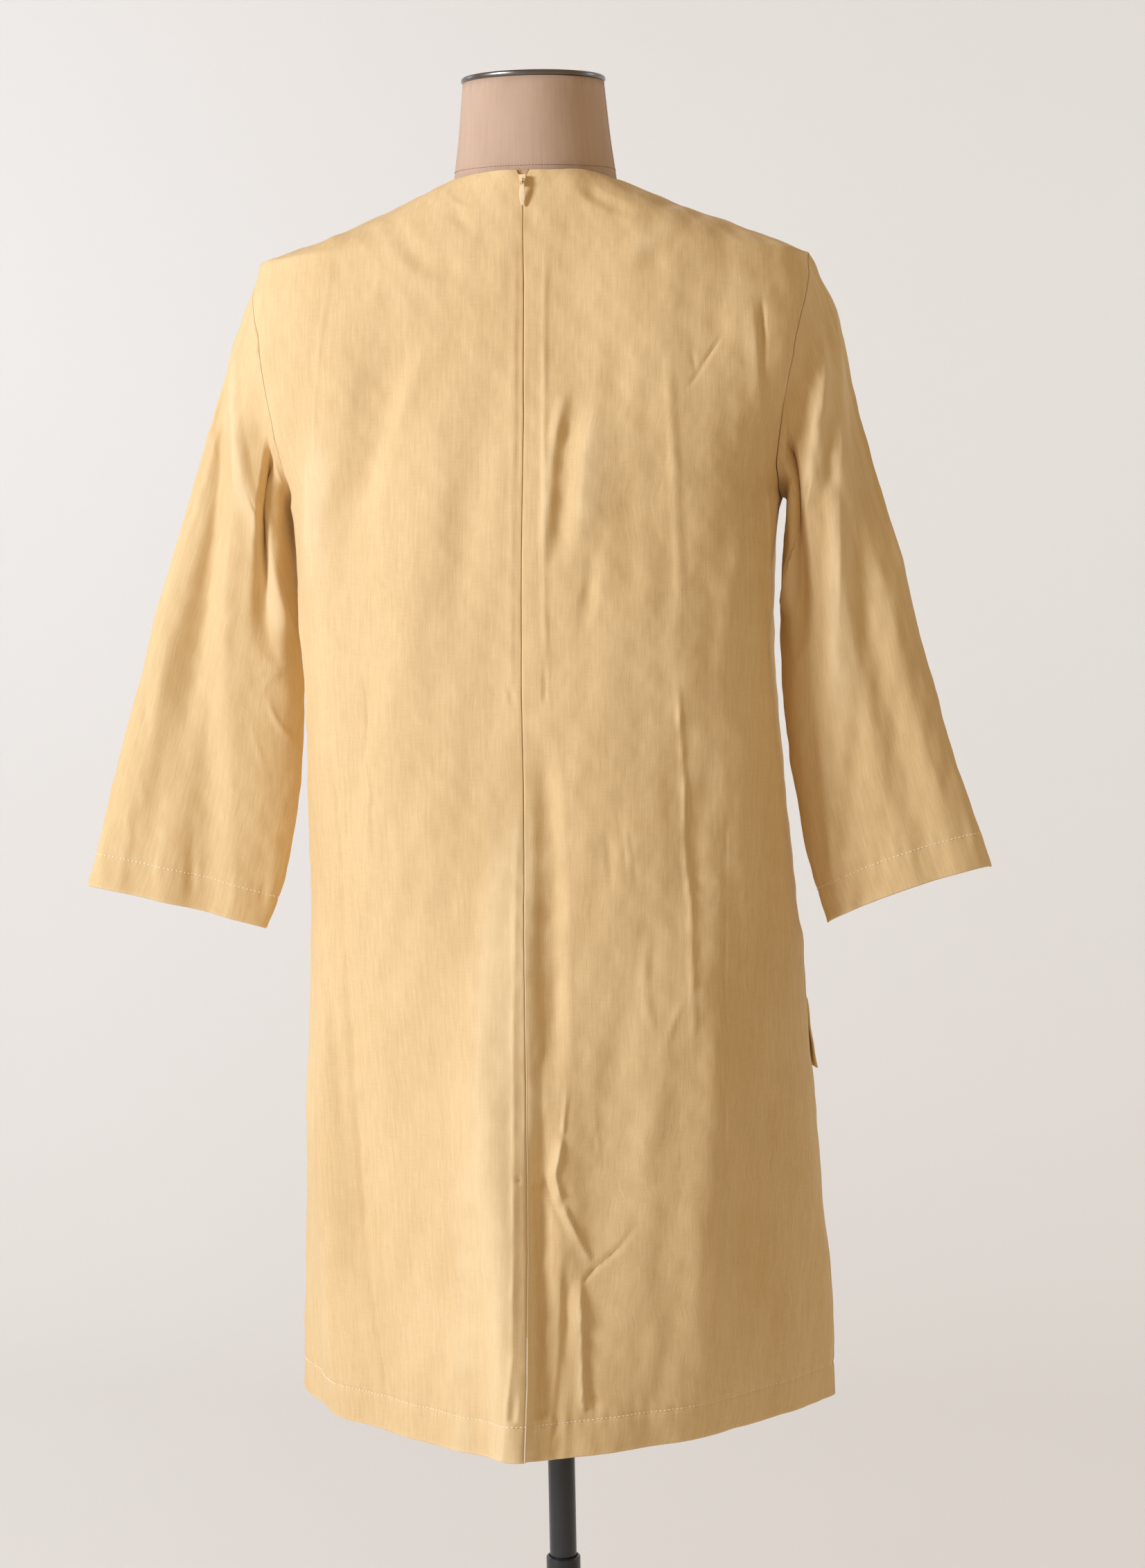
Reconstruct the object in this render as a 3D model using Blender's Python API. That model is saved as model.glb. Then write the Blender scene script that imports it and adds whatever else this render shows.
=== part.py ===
"""A plain cotton mini dress on a limbless dress form with a telescopic stand.

The dress hangs on the form as in a shop: a closed A-line tube with a zip down the centre back,
set-in three-quarter sleeves that hang empty, and a flap on each front hip.

Frame: metres, +Z up, the floor at Z = 0 and the stand's pole on the Z axis.  The wearer faces -Y,
so +X is the wearer's left and the zip is on the +Y side.
"""
import math
from collections import namedtuple

import bmesh
import bpy
import numpy as np

# ---------------------------------------------------------------- driving sizes (metres)
CLOTH = 0.0012              # thickness of every cloth wall
SEAM_GAP = 0.0003           # space between two pieces at a seam
BACK_COLUMNS = 14           # facets from the zip to the side seam, on each back panel
FRONT_COLUMNS = 12          # facets from the centre front to each side seam
ROW_STEPS = 2               # facets between two rows of a table
SLEEVE_ROWS = 16            # facets from the armhole to the cuff

LEFT, RIGHT = 1, -1         # the wearer's sides, as signs of X

# Rings of the dress below the armholes, from the hem up.  height: level of the ring.
# half_width: side seam to side seam, halved.  shift: how far the ring's middle lies to the left.
# back, front: depth at the centre back and centre front.  roundness: 2 is an ellipse, less is
# pointed at the side seams, more is boxy.  seam_y: how far back the side seams lie.
SkirtRing = namedtuple("SkirtRing", "height half_width shift back front roundness seam_y")
SKIRT = [
    SkirtRing(0.500, 0.1963, -0.0045, 0.172, 0.163, 1.33, 0.000),
    SkirtRing(0.575, 0.1936, -0.0064, 0.160, 0.158, 1.46, 0.006),
    SkirtRing(0.650, 0.1892, -0.0060, 0.150, 0.153, 1.60, 0.009),
    SkirtRing(0.725, 0.1846, -0.0050, 0.141, 0.148, 1.74, 0.010),
    SkirtRing(0.790, 0.1804, -0.0046, 0.133, 0.144, 1.86, 0.010),
    SkirtRing(0.870, 0.1782, -0.0040, 0.124, 0.139, 2.05, 0.009),
    SkirtRing(0.950, 0.1762, -0.0016, 0.117, 0.136, 2.25, 0.008),
    SkirtRing(1.030, 0.1717, 0.0008, 0.111, 0.134, 2.45, 0.007),
    SkirtRing(1.090, 0.1724, 0.0022, 0.106, 0.133, 2.50, 0.006),
    SkirtRing(1.150, 0.1760, 0.0036, 0.100, 0.130, 2.35, 0.005),
]

# Rows across the armholes, from just above the underarm to just below the shoulder tip.
# side_x, side_y, side_z: the row's end on the armhole seam.  turn: how far round the row has
# turned there, in degrees, 90 at a side seam.  centre_z, depth: the row's middle.
ArmholeRow = namedtuple("ArmholeRow", "side_x side_y side_z turn centre_z depth")
BACK_ARMHOLE = [
    ArmholeRow(0.1742, 0.031, 1.172, 76, 1.176, 0.0975),
    ArmholeRow(0.1780, 0.044, 1.202, 66, 1.207, 0.0940),
    ArmholeRow(0.1835, 0.047, 1.235, 62, 1.240, 0.0885),
    ArmholeRow(0.1905, 0.041, 1.268, 62, 1.272, 0.0815),
    ArmholeRow(0.1978, 0.023, 1.299, 72, 1.303, 0.0745),
]
FRONT_ARMHOLE = [
    ArmholeRow(0.1705, 0.024, 1.172, 76, 1.170, 0.1280),
    ArmholeRow(0.1670, 0.040, 1.202, 66, 1.196, 0.1230),
    ArmholeRow(0.1700, 0.045, 1.235, 62, 1.222, 0.1155),
    ArmholeRow(0.1810, 0.037, 1.268, 64, 1.247, 0.1065),
    ArmholeRow(0.1930, 0.020, 1.299, 74, 1.270, 0.0970),
]

# Rows that end on the shoulder seam, from its tip to the neck.  x, z: the point on the seam.
ShoulderRow = namedtuple("ShoulderRow", "x z back_z back front_z front")
SHOULDER = [
    ShoulderRow(0.1985, 1.3228, 1.3315, 0.0690, 1.2880, 0.0900),
    ShoulderRow(0.1500, 1.3400, 1.3490, 0.0640, 1.3010, 0.0845),
    ShoulderRow(0.1040, 1.3580, 1.3660, 0.0600, 1.3130, 0.0790),
    ShoulderRow(0.0612, 1.3755, 1.3810, 0.0575, 1.3250, 0.0735),
]
UNDERARM = len(SKIRT) - 1                       # table row where the armholes start
TIP = UNDERARM + len(BACK_ARMHOLE) + 1          # table row at the shoulder tip
NECK_X = SHOULDER[-1].x
ARMHOLE_ROUNDNESS = 2.25
SHOULDER_ROUNDNESS = 2.0
SHOULDER_SHIFT = 0.0040     # how far the shoulder tips lie to the left, and the neck less
ARMHOLE_SHIFT = 0.0036      # how far the rows across the armholes do
HEM_CENTRE_DROP = 0.003     # how much lower the hem hangs at the centre back
LEVEL_POWER = 3             # a row keeps its middle's level, then turns to its end's this steeply
ZIP_OPENING = 0.0045        # half the width of the open V at the top of the zip
SEAM_POWER = 4              # how soon the opening fades away from the centre back

# Large folds of the dress body.  angle: 0 at the centre back, 90 at the left side seam, 180 at
# the centre front, 270 at the right side seam.  depth is inwards, so a ridge has a negative one.
FOLD_SWELL = 0.8            # power of a fold's swelling between its ends: under 1 is fuller
BodyFold = namedtuple("BodyFold", "angle_top angle_bottom z_top z_bottom depth half_angle")
BODY_FOLDS = [
    BodyFold(268, 268, 1.150, 0.840, 0.016, 21),     # hollow under the right arm
    BodyFold(91, 91, 1.150, 0.880, 0.014, 20),       # hollow under the left arm
    BodyFold(12, 7, 0.840, 0.420, -0.012, 12),       # ridge left of the centre back seam
    BodyFold(-22, -16, 0.860, 0.420, 0.005, 12),     # valley right of it
    BodyFold(36, 42, 1.270, 0.940, 0.004, 14),       # slanting valley below the left shoulder
    BodyFold(-44, -42, 0.900, 0.420, -0.005, 10),    # ridge towards the right side
    BodyFold(60, 54, 0.860, 0.420, -0.012, 13),      # ridge towards the left side
    BodyFold(152, 146, 0.860, 0.420, 0.008, 15),     # front, left valley
    BodyFold(208, 212, 0.900, 0.420, 0.009, 15),     # front, right valley
    BodyFold(180, 178, 0.780, 0.420, -0.006, 13),    # front, middle ridge
]

# Sleeves.  cuff_x, cuff_y, cuff_z: middle of the cuff.  half_width, back, front: its reach from
# there.  lean: the cuff line's slope, in degrees.  rise: how much higher its back hangs.
# pull, sag: how far the underarm side is drawn in towards the body, high up and halfway down.
SleeveCut = namedtuple("SleeveCut",
                       "cuff_x cuff_y cuff_z half_width back front lean rise pull sag")
SLEEVES = {
    LEFT: SleeveCut(0.2750, 0.004, 0.8590, 0.0665, 0.020, 0.052, 14.6, 0.004, 0.024, 0.028),
    RIGHT: SleeveCut(0.2600, 0.004, 0.8665, 0.0618, 0.020, 0.052, 19.0, 0.006, 0.044, 0.003),
}
CUFF_ROUNDNESS = 1.7
SLEEVE_ROLL = 0.017         # how far the cloth runs on from the armhole seam before it turns down
SLEEVE_FALL = 0.10          # share of a sleeve's length that falls straight from the armhole
SLEEVE_REACH = 0.32         # share of it that runs straight into the cuff
SLEEVE_CROWDING = 1.25      # rows lie closer together at the armhole the larger this is
UNDERARM_POWER = 3          # how closely pull and sag keep to the underarm side
# Turn of the cloth at the armhole seam, in degrees, at the shoulder tip, back and underarm.
BEND_AT_TIP, BEND_AT_BACK, BEND_AT_UNDERARM = -8, -4, 96

# Large folds of a sleeve.  angle: 0 on the outer edge, 90 at the back, 180 at the underarm.
# start, end: share of the way from the armhole to the cuff.
SleeveFold = namedtuple("SleeveFold", "angle start end depth half_angle")
SLEEVE_FOLDS = [
    SleeveFold(134, 0.10, 0.62, 0.017, 24),          # deep hollow behind the underarm
    SleeveFold(62, 0.35, 1.10, 0.005, 22),           # soft valley down the back
    SleeveFold(-70, 0.30, 1.10, 0.006, 24),          # soft valley down the front
]

# A flap lies on each front hip, over these columns of the front panel and between these levels.
FLAP_COLUMNS = (5, 11)
FLAP_TOP, FLAP_BOTTOM = 0.790, 0.739
FLAP_ROWS = 3
FLAP_CLOTH = 0.0015         # folded double and pressed
FLAP_LIFT = 0.0006          # space under its sewn top edge
FLAP_EASE = 0.0012          # how far its lower edge stands off
FLAP_CURL = {LEFT: 0.0012, RIGHT: 0.0035}           # how far its free rear corner does
FLAP_OPENS, CORNER_POWER = 1.5, 3                   # how late it does down and along the flap

# Zip: tape behind the opening, slider with an arched bail, and teardrop pull.
ZIP_TAPE_HALF, ZIP_TAPE = 0.011, 0.0010             # half its width, and its thickness
ZIP_END = 0.9900            # level of the lower end of its tape
SLIDER_Z = 1.3735           # middle of the slider
SLIDER_OFF = 0.0005         # how far it stands off the cloth
SLIDER_TOP, SLIDER_FOOT = 0.0050, 0.0036            # its width above and below
SLIDER_THICK, SLIDER_HEIGHT = 0.0028, 0.0072
BAIL_INNER, BAIL_OUTER, BAIL_WIDTH = 0.0011, 0.0019, 0.0010
BAIL_SINK = 0.0003          # how far the bail's ends run into the slider
BAIL_FACETS = 8
HINGE_OFF = 0.0012          # from the slider's face out to the pull's hinge line
HINGE_BELOW = 0.0008        # and down from the slider's middle
PULL_LENGTH, PULL_TOP, PULL_WIDTH, PULL_THICK = 0.0176, 0.0030, 0.0042, 0.0010
PULL_BAR = 0.00045          # half the depth of the bar that turns in the bail
PULL_WINDOW, PULL_WINDOW_WIDTH = 0.0026, 0.0018     # how far down it reaches, and its width
PULL_SQUARE_TOP, PULL_ROUND_TIP = 0.35, 0.80        # powers of its outline: 1 is an ellipse
PULL_LOW = 1.5              # how far down its widest place lies: 1 is the middle
PULL_FACETS = 24

# Rings of the dress form's trunk, from its foot up.
FormRing = namedtuple("FormRing", "height half_width back front roundness")
TRUNK = [
    FormRing(0.700, 0.150, 0.100, 0.095, 2.0),
    FormRing(0.780, 0.158, 0.106, 0.100, 2.0),       # hips
    FormRing(0.860, 0.148, 0.097, 0.098, 2.0),
    FormRing(0.930, 0.127, 0.083, 0.091, 2.0),
    FormRing(0.985, 0.113, 0.076, 0.084, 2.0),       # waist
    FormRing(1.040, 0.119, 0.081, 0.092, 2.0),
    FormRing(1.100, 0.133, 0.088, 0.108, 2.05),
    FormRing(1.155, 0.146, 0.091, 0.118, 2.1),       # bust
    FormRing(1.200, 0.151, 0.088, 0.113, 2.15),
    FormRing(1.240, 0.155, 0.081, 0.103, 2.15),
    FormRing(1.280, 0.158, 0.072, 0.091, 2.1),
]
# Its shoulders lie this far inside the dress, and its arm ends stop short of the shoulder tip.
FORM_CLEAR = 0.0022
FORM_CLEAR_BACK = 0.0040    # more at the back, where the zip tape lies between
FORM_ARM_END = 0.163        # half the width over the closed arm ends
FORM_TIP_Z, FORM_TIP_BACK_Z, FORM_TIP_FRONT_Z = 1.316, 1.311, 1.291
FORM_TIP_ROUNDNESS, FORM_ROUNDNESS = 2.1, 2.0
# Rings of its neck, up to the metal cap: level, radius at the sides, back and front.
NeckRing = namedtuple("NeckRing", "height half_width back front")
NECK = [
    NeckRing(1.3880, 0.0572, 0.0540, 0.0545),
    NeckRing(1.4010, 0.0552, 0.0528, 0.0530),
    NeckRing(1.4180, 0.0533, 0.0518, 0.0518),
    NeckRing(1.4460, 0.0506, 0.0506, 0.0506),
]
FORM_COLUMNS = 7            # facets to each quarter turn of the form

CAP_RADIUS, CAP_TOP, CAP_THICK = 0.0512, 1.4500, 0.0037
CAP_RIM = 0.007             # width of its raised rim
POST_RADIUS, POST_BORE = 0.0100, 0.0085
POST_BOTTOM = 0.200         # the post reaches this far down inside the pole
POLE_RADIUS, POLE_TOP = 0.01265, 0.375
SLIDE_GAP = 0.0003
BASE_RADIUS, BASE_THICK = 0.165, 0.008
SOCKET_TOP, SOCKET_WALL, SOCKET_FLARE = 0.045, 0.006, 0.006     # on the base, round the pole
FLANGE_RADIUS, FLANGE_THICK, FLANGE_NECK, FLANGE_WALL = 0.045, 0.0047, 0.030, 0.005
EDGE = 0.001                # bevel of turned edges
ROUND_SIDES = 24


# ---------------------------------------------------------------- scene helpers
def clear_scene():
    for thing in list(bpy.data.objects):
        bpy.data.objects.remove(thing, do_unlink=True)


def material(name, colour, roughness, metallic=0.0):
    mat = bpy.data.materials.new(name)
    mat.use_nodes = True
    shader = mat.node_tree.nodes["Principled BSDF"]
    shader.inputs["Base Color"].default_value = (*colour, 1.0)
    shader.inputs["Roughness"].default_value = roughness
    shader.inputs["Metallic"].default_value = metallic
    mat.diffuse_color = (*colour, 1.0)
    return mat


def add_object(name, bm, mat, smooth_angle=40):
    """Turn a bmesh into a named object whose faces all point outwards."""
    bmesh.ops.recalc_face_normals(bm, faces=bm.faces[:])
    mesh = bpy.data.meshes.new(name)
    bm.to_mesh(mesh)
    bm.free()
    mesh.materials.append(mat)
    mesh.shade_smooth()
    mesh.set_sharp_from_angle(angle=math.radians(smooth_angle))
    thing = bpy.data.objects.new(name, mesh)
    bpy.context.scene.collection.objects.link(thing)
    return thing


# ---------------------------------------------------------------- curves through the tables
def spline(values, steps, breaks=()):
    """Smooth curve through the rows of a table, with `steps` spans between two rows.

    It may turn a corner at the rows named in `breaks`.
    """
    rows = np.asarray(values, float)
    slopes = np.empty_like(rows)
    slopes[1:-1] = (rows[2:] - rows[:-2]) / 2
    slopes[0] = rows[1] - rows[0]
    slopes[-1] = rows[-1] - rows[-2]
    points = [rows[0]]
    for i in range(len(rows) - 1):
        start, end = slopes[i], slopes[i + 1]
        if i in breaks:
            start = rows[i + 1] - rows[i]
        if i + 1 in breaks:
            end = rows[i + 1] - rows[i]
        for k in range(1, steps + 1):
            t = k / steps
            points.append((2 * t**3 - 3 * t**2 + 1) * rows[i] + (t**3 - 2 * t**2 + t) * start
                          + (3 * t**2 - 2 * t**3) * rows[i + 1] + (t**3 - t**2) * end)
    return np.array(points)


def ease(t):
    t = min(max(t, 0.0), 1.0)
    return t * t * (3 - 2 * t)


def bump(distance, half_width):
    """1 on a fold's line, falling smoothly to 0 at its half width."""
    return ease(1 - abs(distance) / half_width)


# ---------------------------------------------------------------- the dress body
def shoulder_shift(x):
    """How far to the left the shoulder seams lie, at this distance from the middle."""
    return SHOULDER_SHIFT * (x - NECK_X) / (SHOULDER[0].x - NECK_X)


def body_rows(back):
    """Fine rows of one half of the body.

    Each is (side x, side y, side z, turn, centre z, depth, roundness, shift).
    """
    sides, centres = [], []
    for i, ring in enumerate(SKIRT):
        depth = ring.back if back else ring.front
        drop = HEM_CENTRE_DROP if back and i == 0 else 0.0
        sides.append((ring.half_width, ring.seam_y, ring.height, 90))
        centres.append((ring.height - drop, depth, ring.roundness, ring.shift))
    facing = 1 if back else -1
    for row in BACK_ARMHOLE if back else FRONT_ARMHOLE:
        sides.append((row.side_x, facing * row.side_y, row.side_z, row.turn))
        centres.append((row.centre_z, row.depth, ARMHOLE_ROUNDNESS, ARMHOLE_SHIFT))
    for row in SHOULDER:
        sides.append((row.x, 0.0, row.z, 90))
        level, depth = (row.back_z, row.back) if back else (row.front_z, row.front)
        centres.append((level, depth, SHOULDER_ROUNDNESS, shoulder_shift(row.x)))
    fine_sides = spline(sides, ROW_STEPS, breaks=(UNDERARM, TIP))
    return np.hstack([fine_sides, spline(centres, ROW_STEPS)])


def row_point(row, share, side, back):
    """A point of a row: share 0 at the centre, 1 at the side seam, armhole or shoulder seam."""
    side_x, side_y, side_z, turn, centre_z, depth, roundness, shift = row
    end = math.radians(turn)
    here = share * end
    power = 2 / roundness
    across = (math.sin(here) / math.sin(end)) ** power
    along = max((math.cos(here) - math.cos(end)) / (1 - math.cos(end)), 0.0) ** power
    facing = 1 if back else -1
    return np.array([
        (side * side_x + shift) * across,
        side_y + (facing * depth - side_y) * along,
        centre_z + (side_z - centre_z) * math.sin(share * math.pi / 2) ** LEVEL_POWER,
    ])


def body_fold(angle, height):
    """How far the folds draw the body's wall inwards at an angle and a level."""
    depth = 0.0
    for fold in BODY_FOLDS:
        if not fold.z_bottom < height < fold.z_top:
            continue
        share = (fold.z_top - height) / (fold.z_top - fold.z_bottom)
        line = fold.angle_top + (fold.angle_bottom - fold.angle_top) * share
        away = (angle - line + 180) % 360 - 180
        swell = math.sin(math.pi * share) ** FOLD_SWELL
        depth += fold.depth * bump(away, fold.half_angle) * swell
    return depth


def grid_normals(grid):
    """Unit normals of a grid of points, one for each point."""
    along = np.gradient(grid, axis=0)
    across = np.gradient(grid, axis=1)
    normals = np.cross(across, along)
    return normals / np.linalg.norm(normals, axis=2, keepdims=True)


def flatten_edge(normals, rows, column, axis):
    """Keep the walls' edge faces flat at a seam: no lean along the axis across it."""
    for row in rows:
        normals[row, column, axis] = 0.0
        normals[row, column] /= np.linalg.norm(normals[row, column])


def body_grid(side, back, columns):
    """Outer points and outward normals of half a body, columns from the centre to the side."""
    rows = body_rows(back)
    grid = np.array([[row_point(row, c / columns, side, back) for c in range(columns + 1)]
                     for row in rows])
    normals = grid_normals(grid)
    if (side > 0) == back:
        normals = -normals
    everywhere = range(len(rows))
    first_open, last_open = UNDERARM * ROW_STEPS, TIP * ROW_STEPS
    sewn = [r for r in everywhere if r <= first_open or r >= last_open]
    flatten_edge(normals, everywhere, 0, 0)
    flatten_edge(normals, sewn, columns, 1)
    for r in everywhere:
        for c in range(columns + 1):
            away = 90 * c / columns * (1 if back else -1) * side
            angle = away if back else 180 + away
            grid[r, c] -= normals[r, c] * body_fold(angle % 360, grid[r, c, 2])
    if back:
        half_gap = np.full(len(rows), SEAM_GAP / 2)
        half_gap[-1] = ZIP_OPENING
        fade = (1 - np.linspace(0, 1, columns + 1)) ** SEAM_POWER
        grid[:, :, 0] += side * half_gap[:, None] * fade
        grid[:, 0, 0] = side * half_gap
    facing = 1 if back else -1
    for r in sewn:
        grid[r, columns, 1] += facing * SEAM_GAP / 2
    return grid, normals


def wall(name, outer, inner, mat, closed=False):
    """A cloth wall between two grids of points, with its edges closed.  A closed wall is a tube."""
    bm = bmesh.new()
    layers = [[[bm.verts.new(p) for p in row] for row in grid] for grid in (outer, inner)]
    rows, columns = outer.shape[:2]
    for layer in layers:
        for r in range(rows - 1):
            for c in range(columns if closed else columns - 1):
                d = (c + 1) % columns
                bm.faces.new((layer[r][c], layer[r][d], layer[r + 1][d], layer[r + 1][c]))
    out, ins = layers
    for r in (0, rows - 1):
        for c in range(columns if closed else columns - 1):
            d = (c + 1) % columns
            bm.faces.new((out[r][c], out[r][d], ins[r][d], ins[r][c]))
    if not closed:
        for c in (0, columns - 1):
            for r in range(rows - 1):
                bm.faces.new((out[r][c], out[r + 1][c], ins[r + 1][c], ins[r][c]))
    return add_object(name, bm, mat)


def back_panel(name, side, mat):
    outer, normals = body_grid(side, True, BACK_COLUMNS)
    wall(name, outer, outer - CLOTH * normals, mat)
    return outer, normals


def front_panel(mat):
    """One piece from side seam to side seam."""
    halves = {side: body_grid(side, False, FRONT_COLUMNS) for side in (LEFT, RIGHT)}
    joined = [np.concatenate([halves[RIGHT][k][:, :0:-1], halves[LEFT][k]], axis=1) for k in (0, 1)]
    outer, normals = joined
    wall("front", outer, outer - CLOTH * normals, mat)
    return halves


# ---------------------------------------------------------------- sleeves
def unit(vector):
    return vector / np.linalg.norm(vector)


def armhole_ring(back_half, front_half):
    """The armhole's points and body normals, from its tip down the back and up the front."""
    first, last = UNDERARM * ROW_STEPS, TIP * ROW_STEPS
    (back, back_n), (front, front_n) = back_half, front_half
    points = [(back[last, -1] + front[last, -1]) / 2]
    normals = [unit(back_n[last, -1] + front_n[last, -1])]
    for r in range(last - 1, first, -1):
        points.append(back[r, -1])
        normals.append(back_n[r, -1])
    points.append((back[first, -1] + front[first, -1]) / 2)
    normals.append(unit(back_n[first, -1] + front_n[first, -1]))
    for r in range(first + 1, last):
        points.append(front[r, -1])
        normals.append(front_n[r, -1])
    return np.array(points), np.array(normals)


def seam_bend(share):
    """Turn of the cloth at the armhole seam, share 0 at the shoulder tip and 1 at the underarm."""
    if share < 0.5:
        return BEND_AT_TIP + (BEND_AT_BACK - BEND_AT_TIP) * ease(share / 0.5)
    return BEND_AT_BACK + (BEND_AT_UNDERARM - BEND_AT_BACK) * ease((share - 0.5) / 0.5)


def sleeve_grid(side, cut, ring, ring_normals):
    """Outer points and outward normals of a sleeve, rows from the armhole to the cuff."""
    count = len(ring)
    half = count // 2
    lean = math.radians(cut.lean)
    outward = np.array([side * math.cos(lean), 0, math.sin(lean)])
    down = np.array([side * math.sin(lean), 0, -math.cos(lean)])
    middle = np.array([side * cut.cuff_x, cut.cuff_y, cut.cuff_z])
    shares = (np.arange(SLEEVE_ROWS + 1) / SLEEVE_ROWS) ** SLEEVE_CROWDING
    grid = np.empty((SLEEVE_ROWS + 1, count, 3))
    first_normals = np.empty((count, 3))
    inside = ring.mean(axis=0)
    for c in range(count):
        share = min(c, count - c) / half                    # 0 at the tip, 1 at the underarm
        along = unit(ring[(c + 1) % count] - ring[c - 1])
        normal = ring_normals[c]
        edge = unit(np.cross(normal, along))                # runs on from the panel at the seam
        if edge @ (inside - ring[c]) < 0:
            edge = -edge
        bend = math.radians(seam_bend(share))
        leave = math.cos(bend) * edge + math.sin(bend) * normal
        first_normals[c] = math.cos(bend) * normal - math.sin(bend) * edge
        start = ring[c] + edge * (SEAM_GAP + CLOTH * max(-math.sin(bend), 0.0))

        angle = math.pi * share
        back = c <= half
        reach = math.copysign(abs(math.cos(angle)) ** (2 / CUFF_ROUNDNESS), math.cos(angle))
        depth = math.sin(angle) ** (2 / CUFF_ROUNDNESS)
        cuff = middle + outward * cut.half_width * reach
        cuff[1] += cut.back * depth if back else -cut.front * depth
        if back:
            cuff -= down * cut.rise * depth

        length = np.linalg.norm(cuff - start)
        rolled = start + leave * SLEEVE_ROLL
        fallen = rolled + down * SLEEVE_FALL * length
        fallen[0] -= side * cut.pull * share**UNDERARM_POWER
        arriving = cuff - down * SLEEVE_REACH * length
        arriving[0] -= side * cut.sag * share**UNDERARM_POWER
        path = np.array([start, rolled, fallen, arriving, cuff])
        for r, t in enumerate(shares):
            weights = [math.comb(4, k) * t**k * (1 - t) ** (4 - k) for k in range(5)]
            grid[r, c] = weights @ path

    wrapped = np.concatenate([grid[:, -1:], grid, grid[:, :1]], axis=1)
    normals = grid_normals(wrapped)[:, 1:-1] * -side
    normals[0] = first_normals
    for r, t in enumerate(shares):
        for c in range(count):
            angle = 360 * c / count
            depth = 0.0
            for fold in SLEEVE_FOLDS:
                if fold.start < t < fold.end:
                    away = (angle - fold.angle + 180) % 360 - 180
                    swell = math.sin(math.pi * (t - fold.start) / (fold.end - fold.start))
                    depth += fold.depth * bump(away, fold.half_angle) * swell
            grid[r, c] -= normals[r, c] * depth
    return grid, normals


def sleeve(name, side, back_half, front_half, mat):
    ring, ring_normals = armhole_ring(back_half, front_half)
    outer, normals = sleeve_grid(side, SLEEVES[side], ring, ring_normals)
    wall(name, outer, outer - CLOTH * normals, mat, closed=True)


# ---------------------------------------------------------------- hip flaps
def pocket_flap(name, side, front_half, mat):
    """A flap made from the front panel's own points, moved out; its rear corner stands off."""
    panel, panel_normals = front_half
    curl = FLAP_CURL[side] - FLAP_EASE
    heights = panel[:, 0, 2]
    first, last = FLAP_COLUMNS
    inner, outer = [], []
    for k in range(FLAP_ROWS + 1):
        share = k / FLAP_ROWS
        level = FLAP_TOP + (FLAP_BOTTOM - FLAP_TOP) * share
        row = int(np.searchsorted(heights, level)) - 1
        t = (level - heights[row]) / (heights[row + 1] - heights[row])
        inner_row, outer_row = [], []
        for c in range(first, last + 1):
            point = panel[row, c] * (1 - t) + panel[row + 1, c] * t
            normal = unit(panel_normals[row, c] * (1 - t) + panel_normals[row + 1, c] * t)
            rear = (c - first) / (last - first)
            lift = FLAP_LIFT + share**FLAP_OPENS * (FLAP_EASE + curl * rear**CORNER_POWER)
            inner_row.append(point + normal * lift)
            outer_row.append(point + normal * (lift + FLAP_CLOTH))
        inner.append(inner_row)
        outer.append(outer_row)
    wall(name, np.array(outer), np.array(inner), mat)


# ---------------------------------------------------------------- zip
def zip_tape(mat):
    """The closed tape behind the zip's opening, made from the back panels' inner points."""
    rows = body_rows(True)
    levels = [r for r in range(len(rows)) if rows[r, 4] >= ZIP_END]
    outer, inner = [], []
    for r in levels:
        centre = row_point(rows[r], 0.0, LEFT, True)
        reach = ZIP_TAPE_HALF / (rows[r, 0] / math.sin(math.radians(rows[r, 3])))
        share = math.asin(reach) / math.radians(rows[r, 3])
        edge = row_point(rows[r], share, LEFT, True)
        front = [np.array([x, edge[1] if x else centre[1], centre[2]])
                 for x in (-ZIP_TAPE_HALF, 0.0, ZIP_TAPE_HALF)]
        behind = np.array([0, CLOTH + 2 * SEAM_GAP, 0])
        outer.append([p - behind for p in front])
        inner.append([p - behind - np.array([0, ZIP_TAPE, 0]) for p in front])
    wall("zip_tape", np.array(outer), np.array(inner), mat)


def slider_face_y():
    """Where the slider's back lies: just outside the cloth at the slider's foot."""
    foot = SLIDER_Z - SLIDER_HEIGHT / 2
    rows = sorted((row.back_z, row.back) for row in SHOULDER)
    return float(np.interp(foot, *zip(*rows))) + SLIDER_OFF


def pull_axis():
    """Hinge line of the pull, along X: its Y and Z."""
    return slider_face_y() + SLIDER_THICK + HINGE_OFF, SLIDER_Z - HINGE_BELOW


def extruded(points, low, high, axis):
    """A bmesh prism: an outline in the plane across `axis`, from low to high along it."""
    bm = bmesh.new()
    loops = []
    for level in (low, high):
        loop = []
        for a, b in points:
            place = {0: (level, a, b), 1: (a, level, b), 2: (a, b, level)}[axis]
            loop.append(bm.verts.new(place))
        loops.append(loop)
    bm.faces.new(loops[0])
    bm.faces.new(loops[1])
    for i in range(len(points)):
        j = (i + 1) % len(points)
        bm.faces.new((loops[0][i], loops[0][j], loops[1][j], loops[1][i]))
    return bm


def half_round(y, z, radius):
    """Points of a half circle about (y, z), from below through its outermost point to above."""
    turns = [math.pi * (k / BAIL_FACETS - 0.5) for k in range(BAIL_FACETS + 1)]
    return [(y + radius * math.cos(a), z + radius * math.sin(a)) for a in turns]


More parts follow.
